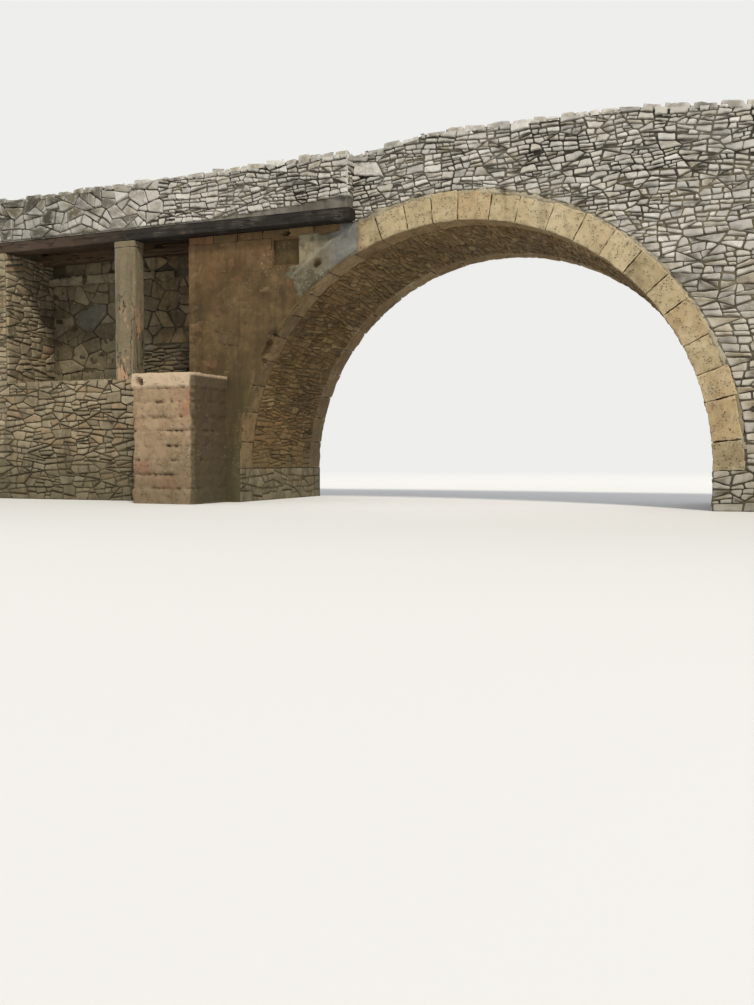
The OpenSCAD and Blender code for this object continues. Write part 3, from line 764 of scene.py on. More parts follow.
# From flat layouts to places in the model
def on_plane(origin, along, up):
    """From a flat layout to a plane in the model, with the height along its outward side."""
    o, a, b = (np.array(v, float) for v in (origin, along, up))
    n = np.cross(a, b)
    return lambda flat: o + flat[:, :1] * a + flat[:, 1:2] * b + flat[:, 2:3] * n


def along_wall(y, turn=1):
    """A wall along the road that faces downstream, or upstream with a turn of -1."""
    return on_plane((0, y, 0), (turn, 0, 0), (0, 0, 1))


def across_wall(x, turn=1):
    """A wall across the road that faces right, or left with a turn of -1."""
    return on_plane((x, 0, 0), (0, turn, 0), (0, 0, 1))


def on_barrel(angle, radius, y):
    """Points of the arch from their angle from the crown, their radius and their Y."""
    return np.stack([radius * np.sin(angle), y, SPRINGING + radius * np.cos(angle)], axis=1)


def from_barrel(at):
    """The angle of points from the crown and their distance from the middle of the arch."""
    return np.arctan2(at[:, 0], at[:, 2] - SPRINGING), np.hypot(at[:, 0], at[:, 2] - SPRINGING)


def on_soffit(flat):
    """From a layout of arc length and depth to the underside of the vault."""
    return on_barrel(flat[:, 0] / RADIUS, RADIUS - flat[:, 2], -flat[:, 1])


def on_parapet(flat):
    """From a layout along and across to the top of a parapet."""
    return flat + np.array([(0, 0, parapet_top(x)) for x in flat[:, 0]])


def parapet_top(x):
    """The height of the parapets: low at both ends, a step, and a crest over the arch."""
    points = ((-END, END_TOP), (STEP, STEP_TOP), (STEP + 1.3, CREST), (2.8, CREST), (ABUTMENT, STEP_TOP),
              (END, END_TOP))
    for (x0, z0), (x1, z1) in zip(points, points[1:]):
        if x <= x1:
            return z0 + (z1 - z0) * (x - x0) / (x1 - x0)
    return END_TOP


def share(value):
    """A number kept between 0 and 1."""
    return max(0.0, min(1.0, value))


def wobble(x, y, z, size, octaves=3):
    """Repeatable soft noise, about -1 to 1."""
    return cloud.fractal(Vector((x, y, z)) / size, 0.9, 2.1, octaves)


# Working on pieces
def deselect():
    bpy.ops.object.select_all(action="DESELECT")


def take_up(piece):
    deselect()
    piece.select_set(True)
    bpy.context.view_layer.objects.active = piece


def in_edit(piece, *steps, faces=None):
    """Runs edit mode steps on all of a piece, or on the faces that a list of yes and no picks out."""
    take_up(piece)
    bpy.ops.object.mode_set(mode="EDIT")
    bpy.ops.mesh.select_all(action="SELECT" if faces is None else "DESELECT")
    if faces is not None:
        bpy.ops.mesh.select_mode(type="FACE")
        bpy.ops.object.mode_set(mode="OBJECT")
        piece.data.polygons.foreach_set("select", [bool(pick) for pick in faces])
        bpy.ops.object.mode_set(mode="EDIT")
    for step in steps:
        step()
    bpy.ops.object.mode_set(mode="OBJECT")


def drawn_out(piece, times, step):
    """Extrudes a flat piece a number of times and turns its faces outward."""
    def extrude():
        bpy.ops.mesh.extrude_region_move(TRANSFORM_OT_translate={"value": step})
    in_edit(piece, *[extrude] * times)
    in_edit(piece, lambda: bpy.ops.mesh.normals_make_consistent(inside=False))


def fresh(name, primitive, **sizes):
    """A new piece from one of Blender's primitives."""
    deselect()
    primitive(**sizes)
    piece = bpy.context.object
    piece.name = piece.data.name = name
    return piece


def mesh_piece(name, points, faces):
    mesh = bpy.data.meshes.new(name)
    mesh.from_pydata(points, [], faces)
    mesh.update()
    piece = bpy.data.objects.new(name, mesh)
    bpy.context.collection.objects.link(piece)
    return piece


def points_of(piece):
    flat = np.empty(len(piece.data.vertices) * 3)
    piece.data.vertices.foreach_get("co", flat)
    return flat.reshape(-1, 3)


def set_points(piece, at):
    piece.data.vertices.foreach_set("co", np.asarray(at, float).ravel())
    piece.data.update()


def face_numbers(piece, name, values):
    piece.data.attributes.new(name, "FLOAT", "FACE").data.foreach_set("value", values)


def one_tint(piece, tint=0.5, warmth=0.3):
    """Gives all faces of a piece the same tint."""
    for name, value in (("tint", tint), ("warmth", warmth)):
        face_numbers(piece, name, np.full(len(piece.data.polygons), value))
    return piece


def applied(piece, kind, **settings):
    """Gives a piece a modifier and applies it."""
    change = piece.modifiers.new(kind, kind)
    for key, value in settings.items():
        setattr(change, key, value)
    take_up(piece)
    bpy.ops.object.modifier_apply(modifier=change.name)


def roughen(piece, strength, size):
    texture = bpy.data.textures.new(piece.name + "_rough", "CLOUDS")
    texture.noise_scale = size
    applied(piece, "DISPLACE", texture=texture, texture_coords="LOCAL", strength=strength, mid_level=0.5)


def soften(piece, edge):
    applied(piece, "BEVEL", width=edge, segments=2, limit_method="ANGLE", angle_limit=math.radians(50))


def joined(name, pieces):
    deselect()
    for piece in pieces:
        piece.select_set(True)
    bpy.context.view_layer.objects.active = pieces[0]
    bpy.ops.object.join()
    pieces[0].name = pieces[0].data.name = name
    return pieces[0]


def dress(piece, finish, slot, *nodes, smooth=38):
    """Gives a piece its finish, body and CAD nodes, and keeps it from going under the ground; its slot is not
    used.
    """
    take_up(piece)
    at = points_of(piece)
    if at[:, 2].min() < 0:
        at[:, 2] = np.maximum(at[:, 2], 0.0)
        set_points(piece, at)
    bpy.ops.object.shade_smooth_by_angle(angle=math.radians(smooth))
    piece.data.materials.clear()
    piece.data.materials.append(FINISH[finish])
    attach(piece, "root")
    if nodes:
        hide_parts(*nodes)


def owners(piece):
    """The stone that each face and each vertex of a layer belongs to, and each face's number of corners."""
    mesh = piece.data
    stone = np.empty(len(mesh.polygons))
    mesh.attributes["stone"].data.foreach_get("value", stone)
    stone = np.rint(stone).astype(int)
    corners = np.empty(len(mesh.polygons), int)
    mesh.polygons.foreach_get("loop_total", corners)
    vertex = np.empty(len(mesh.loops), int)
    mesh.loops.foreach_get("vertex_index", vertex)
    of_vertex = np.zeros(len(mesh.vertices), int)
    of_vertex[vertex] = np.repeat(stone, corners)
    return stone, of_vertex, corners


def lay(name, stones, place, chance, proud=0.02, vary=0.012, tilt=0.04, sunk=0.012, soft=0.022, step=0.09,
        rough=0.005, pillow=(0.004, 0.009, 0.012), bulge=0.004, gaps=0.1, large=0.045, kinds=None):
    """Stones raised from their outlines: a worn edge and a hewn face, each with its own lean and tint."""
    outlines = [knocked_off(shrunk(o, chance, gaps), chance, soft, step, rough) for o in stones]
    outlines = [o for o in outlines if stout(o, 0.0008, 1.2 * sum(pillow))]
    points, faces = [], []
    for o in outlines:
        faces.append(range(len(points), len(points) + len(o)))
        points += [(u, v, 0.0) for u, v in o]
    piece = mesh_piece(name, points, faces)
    face_numbers(piece, "stone", np.arange(len(outlines), dtype=float))
    raised = sunk + proud
    depths = (0.72, 0.2, 0.08) if len(pillow) > 2 else (0.76, 0.24)
    worn = [lambda w=w, d=d: bpy.ops.mesh.inset(thickness=w, depth=raised * d, use_individual=True)
            for w, d in zip(pillow, depths)]
    in_edit(piece, *worn, lambda: bpy.ops.mesh.poke(offset=bulge))
    broad = np.array([area(o) > large for o in outlines])
    stone, _, corners = owners(piece)
    in_edit(piece, lambda: bpy.ops.mesh.subdivide(number_cuts=2), faces=broad[stone] & (corners == 3))

    stone, owner, _ = owners(piece)
    lean = np.array([[chance.uniform(-1, 1) for _ in range(3)] for _ in outlines])
    middle = np.array([np.mean(o, axis=0) for o in outlines])
    low, high = (np.array([end(o, axis=0) for o in outlines]) for end in (np.min, np.max))
    at = points_of(piece)
    inward = np.where(at[:, 2:] > 0.5 * raised, 0.4 * sum(pillow), 0.0)
    at[:, :2] = np.clip(at[:, :2], low[owner] + inward, high[owner] - inward)
    off = at[:, :2] - middle[owner]
    lift = vary * lean[owner, 0] + tilt * (lean[owner, 1] * off[:, 0] + lean[owner, 2] * off[:, 1])
    height = np.clip(at[:, 2] / raised, 0, 1)
    at[:, 2] += np.clip(lift, -0.6 * proud, 2.5 * vary) * height - sunk
    for i in np.nonzero(broad[owner] & (height > 0.85))[0]:
        at[i, 2] += 0.022 * wobble(at[i, 0], at[i, 1], 9 * lean[owner[i], 0], 0.14)
    set_points(piece, place(at))
    piece.data.attributes.remove(piece.data.attributes["stone"])
    tints = [(chance.random(), chance.random()) for _ in outlines]
    if kinds:
        tints = [kinds(*m, *pair) for m, pair in zip(middle, tints)]
    for label, values in zip(("tint", "warmth"), np.array(tints).T):
        face_numbers(piece, label, values[stone])
    return piece


def skim(name, u, v, pitch, place, height):
    """A sheet of mortar or render over a wall, left out where its height is well below the wall."""
    nu, nv = round((u[1] - u[0]) / pitch), round((v[1] - v[0]) / pitch)
    sheet = fresh(name, bpy.ops.mesh.primitive_grid_add, x_subdivisions=nu, y_subdivisions=nv, size=1)
    flat = filling((u[0], v[0], 0), (u[1], v[1], 0))(points_of(sheet) + 0.5)
    flat[:, 2] = [height(a, b) for a, b in flat[:, :2]]
    set_points(sheet, place(flat))
    low = flat[:, 2] < -0.004
    hidden = [low[list(face.vertices)].all() for face in sheet.data.polygons]
    in_edit(sheet, lambda: bpy.ops.mesh.delete(type="FACE"), faces=hidden)
    return sheet


def filling(low, high):
    """From a unit cube to the box between two corners."""
    low, high = np.array(low), np.array(high)
    return lambda at: low + at * (high - low)


def worn_cube(name, cuts, place, edge, tint=0.5, warmth=0.3):
    """A cube cut fine, put in its place and worn at its edges."""
    piece = fresh(name, bpy.ops.mesh.primitive_cube_add, size=1)
    in_edit(piece, lambda: bpy.ops.mesh.subdivide(number_cuts=cuts))
    set_points(piece, place(points_of(piece) + 0.5))
    soften(piece, edge)
    return one_tint(piece, tint, warmth)


def timber(name, low, high, cuts, edge, strength, size, warp=None):
    """A squared timber along X: a grid drawn out in short lengths, its edges worn and its faces uneven."""
    lengths, wide, tall = cuts
    piece = fresh(name, bpy.ops.mesh.primitive_grid_add, x_subdivisions=wide, y_subdivisions=tall, size=1)
    at = points_of(piece)
    set_points(piece, np.column_stack([np.zeros(len(at)), at[:, :2] + 0.5]))
    drawn_out(piece, lengths, (1 / lengths, 0, 0))
    set_points(piece, filling(low, high)(points_of(piece)))
    soften(piece, edge)
    if warp:
        set_points(piece, warp(points_of(piece)))
    roughen(piece, strength, size)
    return one_tint(piece)


def solids_of(name):
    """The points of each separate solid in a CAD node, from left to right."""
    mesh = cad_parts[name].data
    keys, same = np.unique(np.round(points_of(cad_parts[name]), 4), axis=0, return_inverse=True)
    same = same.ravel()
    owner = np.arange(len(keys))

    def root(i):
        while owner[i] != i:
            owner[i] = owner[owner[i]]
            i = owner[i]
        return i
    for face in mesh.polygons:
        first = root(same[face.vertices[0]])
        for i in face.vertices[1:]:
            owner[root(same[i])] = first
    groups = {}
    for i, key in enumerate(keys):
        groups.setdefault(root(i), []).append(key)
    return sorted((np.array(g) for g in groups.values()), key=lambda p: p[:, 0].mean())


# Walls
def rubble_size(x, z):
    """Whether stones are small and flat: in the parapets and over the arch, with no hard line below."""
    return z + 0.7 * wobble(x, 7.0, z, 1.1) > (4.2 if abs(x) < 5.4 else 4.6)


def rubble(chance, u, v, limits, mirror=1, far=-math.inf, lone=(math.inf, math.inf), coarse=1.0):
    """The small and the large stones of a rubble wall: broad patches, each broken up in its own way.

    Beyond some place at its left the stones are many-sided blocks, and a lone one stays whole."""
    small, large = [], []
    middles = courses(chance, u, v, (0.5, 0.25), wander=0.34, uneven=0.4)
    for patch in cut_stones(middles, 1.7, 0.014, limits, 1.5, 0.001):
        x, z = (sum(p[i] for p in patch) / len(patch) for i in (0, 1))
        slope = (parapet_top(mirror * (x + 0.1)) - parapet_top(mirror * (x - 0.1))) / 0.2
        lean = 0.8 * slope * share(z - 4.4) + chance.uniform(-0.13, 0.13)
        fine = rubble_size(mirror * x, z)
        size = (0.165 * coarse, 0.062 * coarse) if fine else (0.23 * coarse, 0.1 * coarse)
        if x < far + 0.9 * wobble(x, 3.0, z, 0.5):
            fine, size, lean = False, (0.27, 0.17), chance.uniform(-0.7, 0.7)
        parts = [patch] if math.dist((x, z), lone) < 0.16 else broken_up(patch, chance, size, 0.016, lean)
        (small if fine else large).extend(o for o in parts if stout(o, 0.0011))
    return small, large


def two_kinds(name, small, broad, place, chance, spacing=1.0, flatter=0.12, **shape):
    """Lays the small and the large stones of one wall apart, under one finish."""
    shape = dict(proud=0.028, vary=0.02, tilt=0.2, soft=0.013, rough=0.006, pillow=(0.004, 0.008),
                 bulge=0.003, gaps=0.06) | shape
    piece = lay(name + "_rubble", small, place, chance, step=0.07 * spacing, **shape)
    roughen(piece, 0.012, 0.05)
    dress(piece, "parapet", "parapet_stone", smooth=32)
    if broad:
        shape.update(tilt=flatter, soft=0.018, pillow=(0.004, 0.011), bulge=0.005)
        piece = lay(name + "_stones", broad, place, chance, step=0.1 * spacing, **shape)
        roughen(piece, 0.018, 0.08)
        dress(piece, "parapet", "wall_rubble", smooth=32)


def laid(name, finish, slot, seed, u, v, size, flat, joint, place, limits=(), reach=0.9, smallest=0.002,
         rough=(0.012, 0.07), parts=None, lean=0.15, lone=None, wander=0.22, uneven=0.35, **kind):
    """One field of laid stones, finished: whole, or all but a lone one broken up into parts of some size."""
    chance = random.Random(seed)
    middles = courses(chance, u, v, size, wander, uneven)
    if lone:
        middles = [m for m in middles if math.dist(m, lone) > 0.4] + [lone]
    stones = cut_stones(middles, flat, joint, [inside(*u, *v), *limits], reach, smallest)
    if parts:
        kept = [o for o in stones if lone and math.dist(lone, np.mean(o, axis=0)) < 0.15]
        whole = [o for o in stones if o not in kept]
        broken = [broken_up(o, chance, parts, joint, chance.uniform(-lean, lean)) for o in whole]
        stones = kept + [o for part in broken for o in part if stout(o, smallest)]
    piece = lay(name, stones, place, chance, **kind)
    roughen(piece, *rough)
    dress(piece, finish, slot)


def face_walls():
    """The rubble of both faces: right of the step downstream, the whole length upstream."""
    chance = random.Random(11)
    u = (STEP, END + 0.02)
    limits = [inside(*u, 0.0, 6.2), under(parapet_top), clear_of_arch()]
    kinds = rubble(chance, u, (0.0, 6.2), limits, lone=(STEP + 0.36, 5.58))
    two_kinds("downstream", *kinds, along_wall(FACE), chance)
    chance = random.Random(12)
    u = (-END - 0.02, END + 0.02)
    limits = [inside(*u, 0.0, 6.2), under(lambda x: parapet_top(-x)), clear_of_arch()]
    kinds = rubble(chance, u, (0.0, 6.2), limits, -1, coarse=1.13)
    two_kinds("upstream", *kinds, along_wall(BACK, -1), chance, large=math.inf, spacing=1.4)


def forward_parapet():
    """Flat rubble on the right, larger many-sided stones at the far left."""
    chance = random.Random(21)
    u = (-END - 0.02, STEP + 0.012)
    bed = above(lambda x: BED[0] + (BED[1] - BED[0]) * max(0.0, 1 - (STEP - x) / 2.5))
    limits = [inside(*u, 4.9, 6.0), under(parapet_top), bed]
    kinds = rubble(chance, u, (4.9, 5.9), limits, far=-5.6)
    two_kinds("forward_parapet", *kinds, along_wall(FORWARD[0]), chance, flatter=0.05)


def parapet_ends_and_insides():
    """The parapets' sides towards the road, and both faces of the step."""
    for name, seed, u, low, turn in (
        ("forward_parapet_end", 22, (FORWARD[0] - 0.012, FACE), BED[1], 1),
        ("centre_parapet_end", 20, (-CENTRE[1], -FORWARD[1]), ROAD, -1),
    ):
        laid(name, "parapet", "parapet_stone", seed, u, (low, STEP_TOP), (0.3, 0.2), 1.6, 0.012,
             across_wall(STEP, turn), parts=(0.14, 0.07), proud=0.014, vary=0.01, tilt=0.15, soft=0.013,
             step=0.07, smallest=0.001, pillow=(0.004, 0.008), gaps=0.06)
    for name, seed, u, y, turn in (
        ("inner_face_left", 23, (-STEP, END + 0.01), FORWARD[1], -1),
        ("inner_face_right", 24, (-END - 0.01, -STEP), CENTRE[1], -1),
        ("inner_face_upstream", 25, (-END - 0.01, END + 0.01), UPSTREAM[0], 1),
    ):
        chance = random.Random(seed)
        limits = [inside(*u, ROAD - 0.03, 6.05), under(lambda x, t=turn: parapet_top(t * x))]
        small, large = rubble(chance, u, (ROAD - 0.03, 6.05), limits, turn, coarse=1.13)
        two_kinds(name, small + large, [], along_wall(y, turn), chance, large=math.inf, spacing=1.4)


def parapet_tops():
    """Loose, jagged stones along the tops."""
    for name, seed, u, (near, far) in (
        ("forward_parapet_top", 26, (-END - 0.02, STEP + 0.02), FORWARD),
        ("centre_parapet_top", 27, (STEP - 0.01, END + 0.02), CENTRE),
        ("upstream_parapet_top", 28, (-END - 0.02, END + 0.02), UPSTREAM),
    ):
        laid(name, "parapet", "parapet_stone", seed, u, (near - 0.028, far + 0.028), (0.24, 0.15), 1.6, 0.014,
             on_parapet, wander=0.3, uneven=0.55, proud=0.045, vary=0.03, tilt=0.15, soft=0.025, step=0.07,
             sunk=0.04, smallest=0.008, bulge=0.01, rough=(0.016, 0.09), gaps=0.16)


def over_ring(x, z):
    """How far a skim stands out: thin on the wall, thicker over the ring's stones, which stand proud."""
    off = math.hypot(x, z - SPRINGING) - RING_BACK
    return 0.012 + 0.02 * share((0.05 - off) / 0.1)


def ring_angle(x, z):
    return math.degrees(math.atan2(x, z - SPRINGING))


def abutment_film(x, z):
    """The height of the worn render on the left abutment, gone in patches and round the niche."""
    r, angle = math.hypot(x, z - SPRINGING), ring_angle(x, z)
    m = wobble(x, 8.0, z, 0.25, 3)
    cover = 0.5 + 1.0 * wobble(x, 0.3, z, 0.9, 4) + 0.2 * m
    cover -= max(0.0, (z - 4.2) * 1.2)
    if r < RING_BACK + 0.1:
        cover += 0.2 - max(0.0, (angle + 47) * 0.12)
        cover = min(cover, (r - RADIUS - 0.06 - 0.04 * m) / 0.16)
        bite = ((angle + BREAK) / 5.6) ** 2 + ((r - RADIUS) / 0.13) ** 2
        cover = min(cover, (bite - 1 - 0.5 * m) * 1.2)
    if z <= SPRINGING:
        cover = min(cover, (-RADIUS - 0.01 - x) / 0.03)
    by_niche = NICHE[0] - 0.075 < x < NICHE[1] + 0.075 and z > NICHE[2] - 0.07
    under_smear = x > SMEARED[0] - 0.02 and z > SMEARED[1] - 0.02
    behind_pedestal = PEDESTAL[0] < x < PEDESTAL[1] - 0.05 and z < BAY_FLOOR - 0.05
    if by_niche or under_smear or behind_pedestal:
        cover = -1
    part = share(0.5 + 1.1 * cover)
    uneven = 0.005 * wobble(x, 1.3, z, 0.16) + 0.003 * m
    return -0.012 + (0.021 + over_ring(x, z)) * part * (2 - part) + uneven * part


def left_abutment():
    """Large squared blocks, nearly flush, under a worn film of render that runs on over the ring."""
    chance = random.Random(31)
    u, v = (-ABUTMENT, FACE_END), (0.0, COURSE_LOW)
    middles = courses(chance, u, v, (0.46, 0.25), wander=0.08, uneven=0.22)
    limits = [inside(*u, *v), clear_of_arch(), outside(*grown(NICHE, 0.02)),
              outside(SMEARED[0], FACE_END, SMEARED[1], COURSE_LOW + 0.01),
              outside(PEDESTAL[0], PEDESTAL[1] - 0.03, 0.0, BAY_FLOOR - 0.03)]
    stones = cut_stones(middles, 1.8, 0.012, limits, 1.2, 0.004)
    piece = lay("abutment_face", stones, along_wall(FACE), chance, proud=0.014, vary=0.006, tilt=0.015,
                soft=0.02, step=0.12, pillow=(0.003, 0.006, 0.012), bulge=0.002, gaps=0.04)
    roughen(piece, 0.008, 0.12)
    dress(piece, "abutment", "abutment_masonry")
    sheet = skim("abutment_render", (-ABUTMENT, FACE_END - 0.04), (0.0, COURSE_LOW - 0.02), 0.034,
                 along_wall(FACE), abutment_film)
    dress(sheet, "film", "abutment_masonry", smooth=60)
    laid("abutment_cheek", "abutment", "abutment_masonry", 32, (-BAY_BACK, -FACE), (BAY_FLOOR, BEAM_LOW),
         (0.42, 0.24), 1.8, 0.012, across_wall(-ABUTMENT, -1), proud=0.012, vary=0.006, tilt=0.02, wander=0.1)
    slot = grown(NICHE, 0.005)
    slab = skim("niche_slab", slot[:2], slot[2:], 0.03, along_wall(FACE + 0.06),
                lambda x, z: 0.006 + 0.006 * wobble(x, 0.0, z, 0.2))
    dress(slab, "niche", "abutment_masonry", smooth=60)


def bay():
    """The bay's back wall, slate course, floor and cheek, and the wall of its base and pier."""
    slate = (-7.05, -ABUTMENT, BAY_FLOOR, 3.02)

    def kinds(x, z, tint, warmth):
        return (0.7, 0.95) if math.dist((x, z), BLUE_STONE) < 0.15 else (tint, 0.5 * warmth)

    width = (BAY, -ABUTMENT)
    back = along_wall(BAY_BACK)
    limits = [outside(BAY, POST[1] + 0.26, *LEDGE), outside(*slate)]
    laid("bay_back_stones", "bay", "bay_stone", 41, width, (BAY_FLOOR, BEAM_TOP - 0.07), (0.5, 0.33), 1.3,
         0.012, back, limits=limits, parts=(0.36, 0.27), lean=0.6, lone=BLUE_STONE, reach=1.3, wander=0.5,
         uneven=0.55, proud=0.013, sunk=0.006, vary=0.012, tilt=0.06, soft=0.03, step=0.1, smallest=0.005,
         pillow=(0.005, 0.012), bulge=0.006, rough=(0.02, 0.16), gaps=0.04, kinds=kinds)
    laid("bay_slate", "bay", "bay_stone", 46, slate[:2], slate[2:], (0.34, 0.075), 3.6, 0.012, back,
         wander=0.35, uneven=0.6, proud=0.03, vary=0.022, tilt=0.12, soft=0.02, step=0.07, smallest=0.001,
         kinds=lambda x, z, tint, warmth: (tint, 0.62 + 0.35 * warmth))
    laid("bay_pier_cheek", "wall", "wall_rubble", 42, (FORWARD[0], BAY_BACK), (BAY_FLOOR, BEAM_LOW),
         (0.5, 0.28), 1.8, 0.014, across_wall(BAY), parts=(0.23, 0.11), **ROUGH_WALL)
    laid("bay_floor", "bay", "bay_stone", 43, width, (FORWARD[0] - 0.015, BAY_BACK), (0.42, 0.34), 1.2, 0.02,
         on_plane((0, 0, BAY_FLOOR), (1, 0, 0), (0, 1, 0)), limits=[outside(*POST, FORWARD[0], FACE + 0.05)],
         reach=1.2, proud=0.014, vary=0.008, tilt=0.02, sunk=0.01, soft=0.03, pillow=(0.004, 0.012),
         large=math.inf, kinds=lambda x, z, tint, warmth: (tint, 0.4 * warmth))
    openings = [outside(BAY, 0.0, BAY_FLOOR, 6.0),
                outside(BEAM_START - 0.01, BAY + 0.5, BEAM_LOW, BEAM_TOP + 0.2)]
    laid("base_and_pier_stones", "wall", "wall_rubble", 44, (-END - 0.02, PEDESTAL[0] + 0.03),
         (0.0, BEAM_LOW + 0.2), (0.5, 0.27), 1.8, 0.015, along_wall(FORWARD[0]), limits=openings,
         parts=(0.23, 0.1), **ROUGH_WALL)


def ends():
    """The bridge's two end walls, and the footings' faces in the arch."""
    for name, seed, turn, u, gap in (
        ("end_wall_left_stones", 51, -1, (-BACK, -FORWARD[0]), (-UPSTREAM[0], -FORWARD[1])),
        ("end_wall_right_stones", 52, 1, (FACE, BACK), (CENTRE[1], UPSTREAM[0])),
    ):
        laid(name, "wall", "wall_rubble", seed, (u[0] - 0.02, u[1] + 0.02), (0.0, END_TOP), (0.52, 0.3), 1.8,
             0.016, across_wall(turn * END, turn), limits=[outside(*gap, ROAD - 0.06, 6.0)],
             parts=(0.26, 0.13), large=math.inf, **dict(ROUGH_WALL, step=0.14))
    for name, seed, turn, u in (
        ("footing_face_left", 53, 1, (FACE, BACK)),
        ("footing_face_right", 54, -1, (-BACK, -FACE)),
    ):
        laid(name, "wall", "abutment_masonry", seed, u, (0.0, SPRINGING - 0.01), (0.55, 0.28), 1.8, 0.015,
             across_wall(-turn * RADIUS, turn), parts=(0.26, 0.13),
             **dict(ROUGH_WALL, proud=0.012, vary=0.01))


# The arch
def vault():
    """Thin stones along the barrel, in bumpy rows round the soffit."""
    chance = random.Random(61)
    quarter = RADIUS * math.pi / 2
    u, v = (-CORE[1] + 0.004, -CORE[0] - 0.004), (-quarter, quarter)
    middles = courses(chance, u, v, (0.5, 0.22), wander=0.32, uneven=0.4)
    patches = cut_stones(middles, 1.8, 0.012, [inside(*u, *v)], 1.5, 0.0015)
    broken = [broken_up(o, chance, (0.21, 0.07), 0.011, chance.uniform(-0.08, 0.08)) for o in patches]
    parts = [o for part in broken for o in part if stout(o, 0.0011)]
    stones = [[(b, a) for a, b in reversed(o)] for o in parts]
    piece = lay("vault_stones", stones, on_soffit, chance, proud=0.015, vary=0.013, tilt=0.1, sunk=0.008,
                soft=0.014, step=0.1, pillow=(0.004, 0.008), bulge=0.003, gaps=0.05)
    roughen(piece, 0.008, 0.07)
    dress(piece, "vault", "vault_rubble")


def wedge(name, solid, cuts, chance):
    """One stone of a ring, laid into the place of its CAD solid."""
    angle, radius = from_barrel(solid)
    a0, a1, back = angle.min(), angle.max(), radius.max()
    y0, y1 = solid[:, 1].min(), solid[:, 1].max()

    def place(at):
        a = a0 + at[:, 0] * (a1 - a0)
        top = back * math.cos((a1 - a0) / 2) / np.cos(a - (a0 + a1) / 2)
        return on_barrel(a, RADIUS + at[:, 2] * (top - RADIUS), y0 + at[:, 1] * (y1 - y0))
    return worn_cube(name, cuts, place, 0.014 * chance.uniform(0.7, 1.3), chance.random(), chance.random())


def break_out(piece):
    """The broken place low on the left ring's inner edge, and the hollow beside the smeared mortar."""
    at = points_of(piece)
    for p, angle, r in zip(at, *from_barrel(at)):
        along = (angle + math.radians(BREAK)) * RADIUS / 0.34
        depth = math.hypot((r - RADIUS) / 0.16, (p[1] - FACE) / 0.22)
        bite = math.exp(-along * along * 1.5 - depth * depth * 1.4) * (1 + 0.6 * wobble(*p, 0.12))
        if bite > 0.02:
            p += 0.17 * bite * np.array([math.sin(angle), 0.9, math.cos(angle)])
        deep = 1.2 - math.hypot(p[0] - HOLLOW[0], p[2] - HOLLOW[1]) / HOLLOW[2]
        if p[1] < FACE + 0.05 and deep > 0:
            p[1] += 0.13 * min(1.0, 1.5 * deep)
    set_points(piece, at)


def rings():
    """Both rings of wedge stones and the crown stones, each stone worn on its own."""
    for node, cuts, seed in (
        ("ring_left_downstream", 10, 71),
        ("ring_right_downstream", 10, 72),
        ("ring_left_upstream", 6, 73),
        ("ring_right_upstream", 6, 74),
        ("crown_stones", 9, 75),
    ):
        chance = random.Random(seed)
        stones = [wedge(f"{node}_{i}", solid, cuts, chance) for i, solid in enumerate(solids_of(node))]
        piece = joined(node + "_stones", stones)
        roughen(piece, 0.028, 0.16)
        roughen(piece, 0.028, 0.05)
        left = node == "ring_left_downstream"
        if left:
            break_out(piece)
        # The left ring takes the shaded copy of the ring's finish
        dress(piece, "shaded_left_ring" if left else "ring", "ring_stone", node, smooth=45)


def smear_height(x, z):
    """Grey mortar over the ring, from under the beam's end down to the left."""
    r, angle = math.hypot(x, z - SPRINGING), ring_angle(x, z)
    n, m = wobble(x, 5.0, z, 0.4, 4), wobble(x, 9.0, z, 0.12, 3)
    band = min((4.58 + 0.08 * n - r) / 0.1, (angle + 43.5 + 3 * n) / 2.5)
    beside = min((x + 2.8 - 0.02 * m) / 0.03, (z - SMEARED[1]) / 0.1)
    if x < -2.03:
        top = COURSE_LOW + 0.05 * n + 0.03 * m
    else:
        top = BEAM_LOW - 0.006 if x < BEAM_END + 0.004 else BEAM_TOP + 0.02
    round_hollow = math.hypot((x - HOLLOW[0]) / 0.085, (z - HOLLOW[1]) / 0.075) - 1 - 0.6 * m
    cover = min(max(band, beside), (r - RADIUS - 0.02 - 0.012 * m) / 0.025, (-1.69 - x + 0.02 * m) / 0.02,
                (top - z) / 0.02, round_hollow * 1.4)
    if NICHE[0] - 0.015 < x < NICHE[1] + 0.015 and NICHE[2] - 0.02 < z < NICHE[3] + 0.02:
        cover = -1
    ridge = 0.008 * math.exp(-((r - RIDGE - 0.04 * n) / 0.025) ** 2) if cover > 0 else 0.0
    scab = 0.012 * max(0.0, m) * share((-2.2 - x) * 3)
    part = share(0.5 + 1.5 * cover)
    return -0.012 + (0.02 + over_ring(x, z) + 0.007 * n + 0.003 * m) * part + ridge + scab * part


def bead(name, y, outward, start, stop, seed):
    """A crumbling bed of pale mortar and chips along the ring's back."""
    lengths = round(math.radians(stop - start) * RING_BACK / 0.025)
    strip = fresh(name, bpy.ops.mesh.primitive_grid_add, x_subdivisions=lengths, y_subdivisions=7, size=1)
    at = points_of(strip)
    for p in at:
        a, b, _ = p
        angle = math.radians(start + (a + 0.5) * (stop - start))
        n = wobble(angle * 4.4, seed, b * 0.3, 0.14, 4)
        m = wobble(angle * 4.4, seed + 5, b * 0.3, 0.05, 2)
        r = RING_BACK - 0.03 + b * (0.1 + 0.07 * n) + 0.025 * n + 0.008 * m
        rise = 0.026 * (1 - (2 * b) ** 2) ** 0.7 + 0.02 * n + 0.008 * m - 0.01 if abs(b) < 0.49 else -0.03
        p[:] = r * math.sin(angle), y + outward * rise, SPRINGING + r * math.cos(angle)
    set_points(strip, at)
    if outward > 0:
        in_edit(strip, bpy.ops.mesh.flip_normals)
    roughen(strip, 0.02, 0.045)
    dress(strip, "back_bead", "mortar", smooth=70)


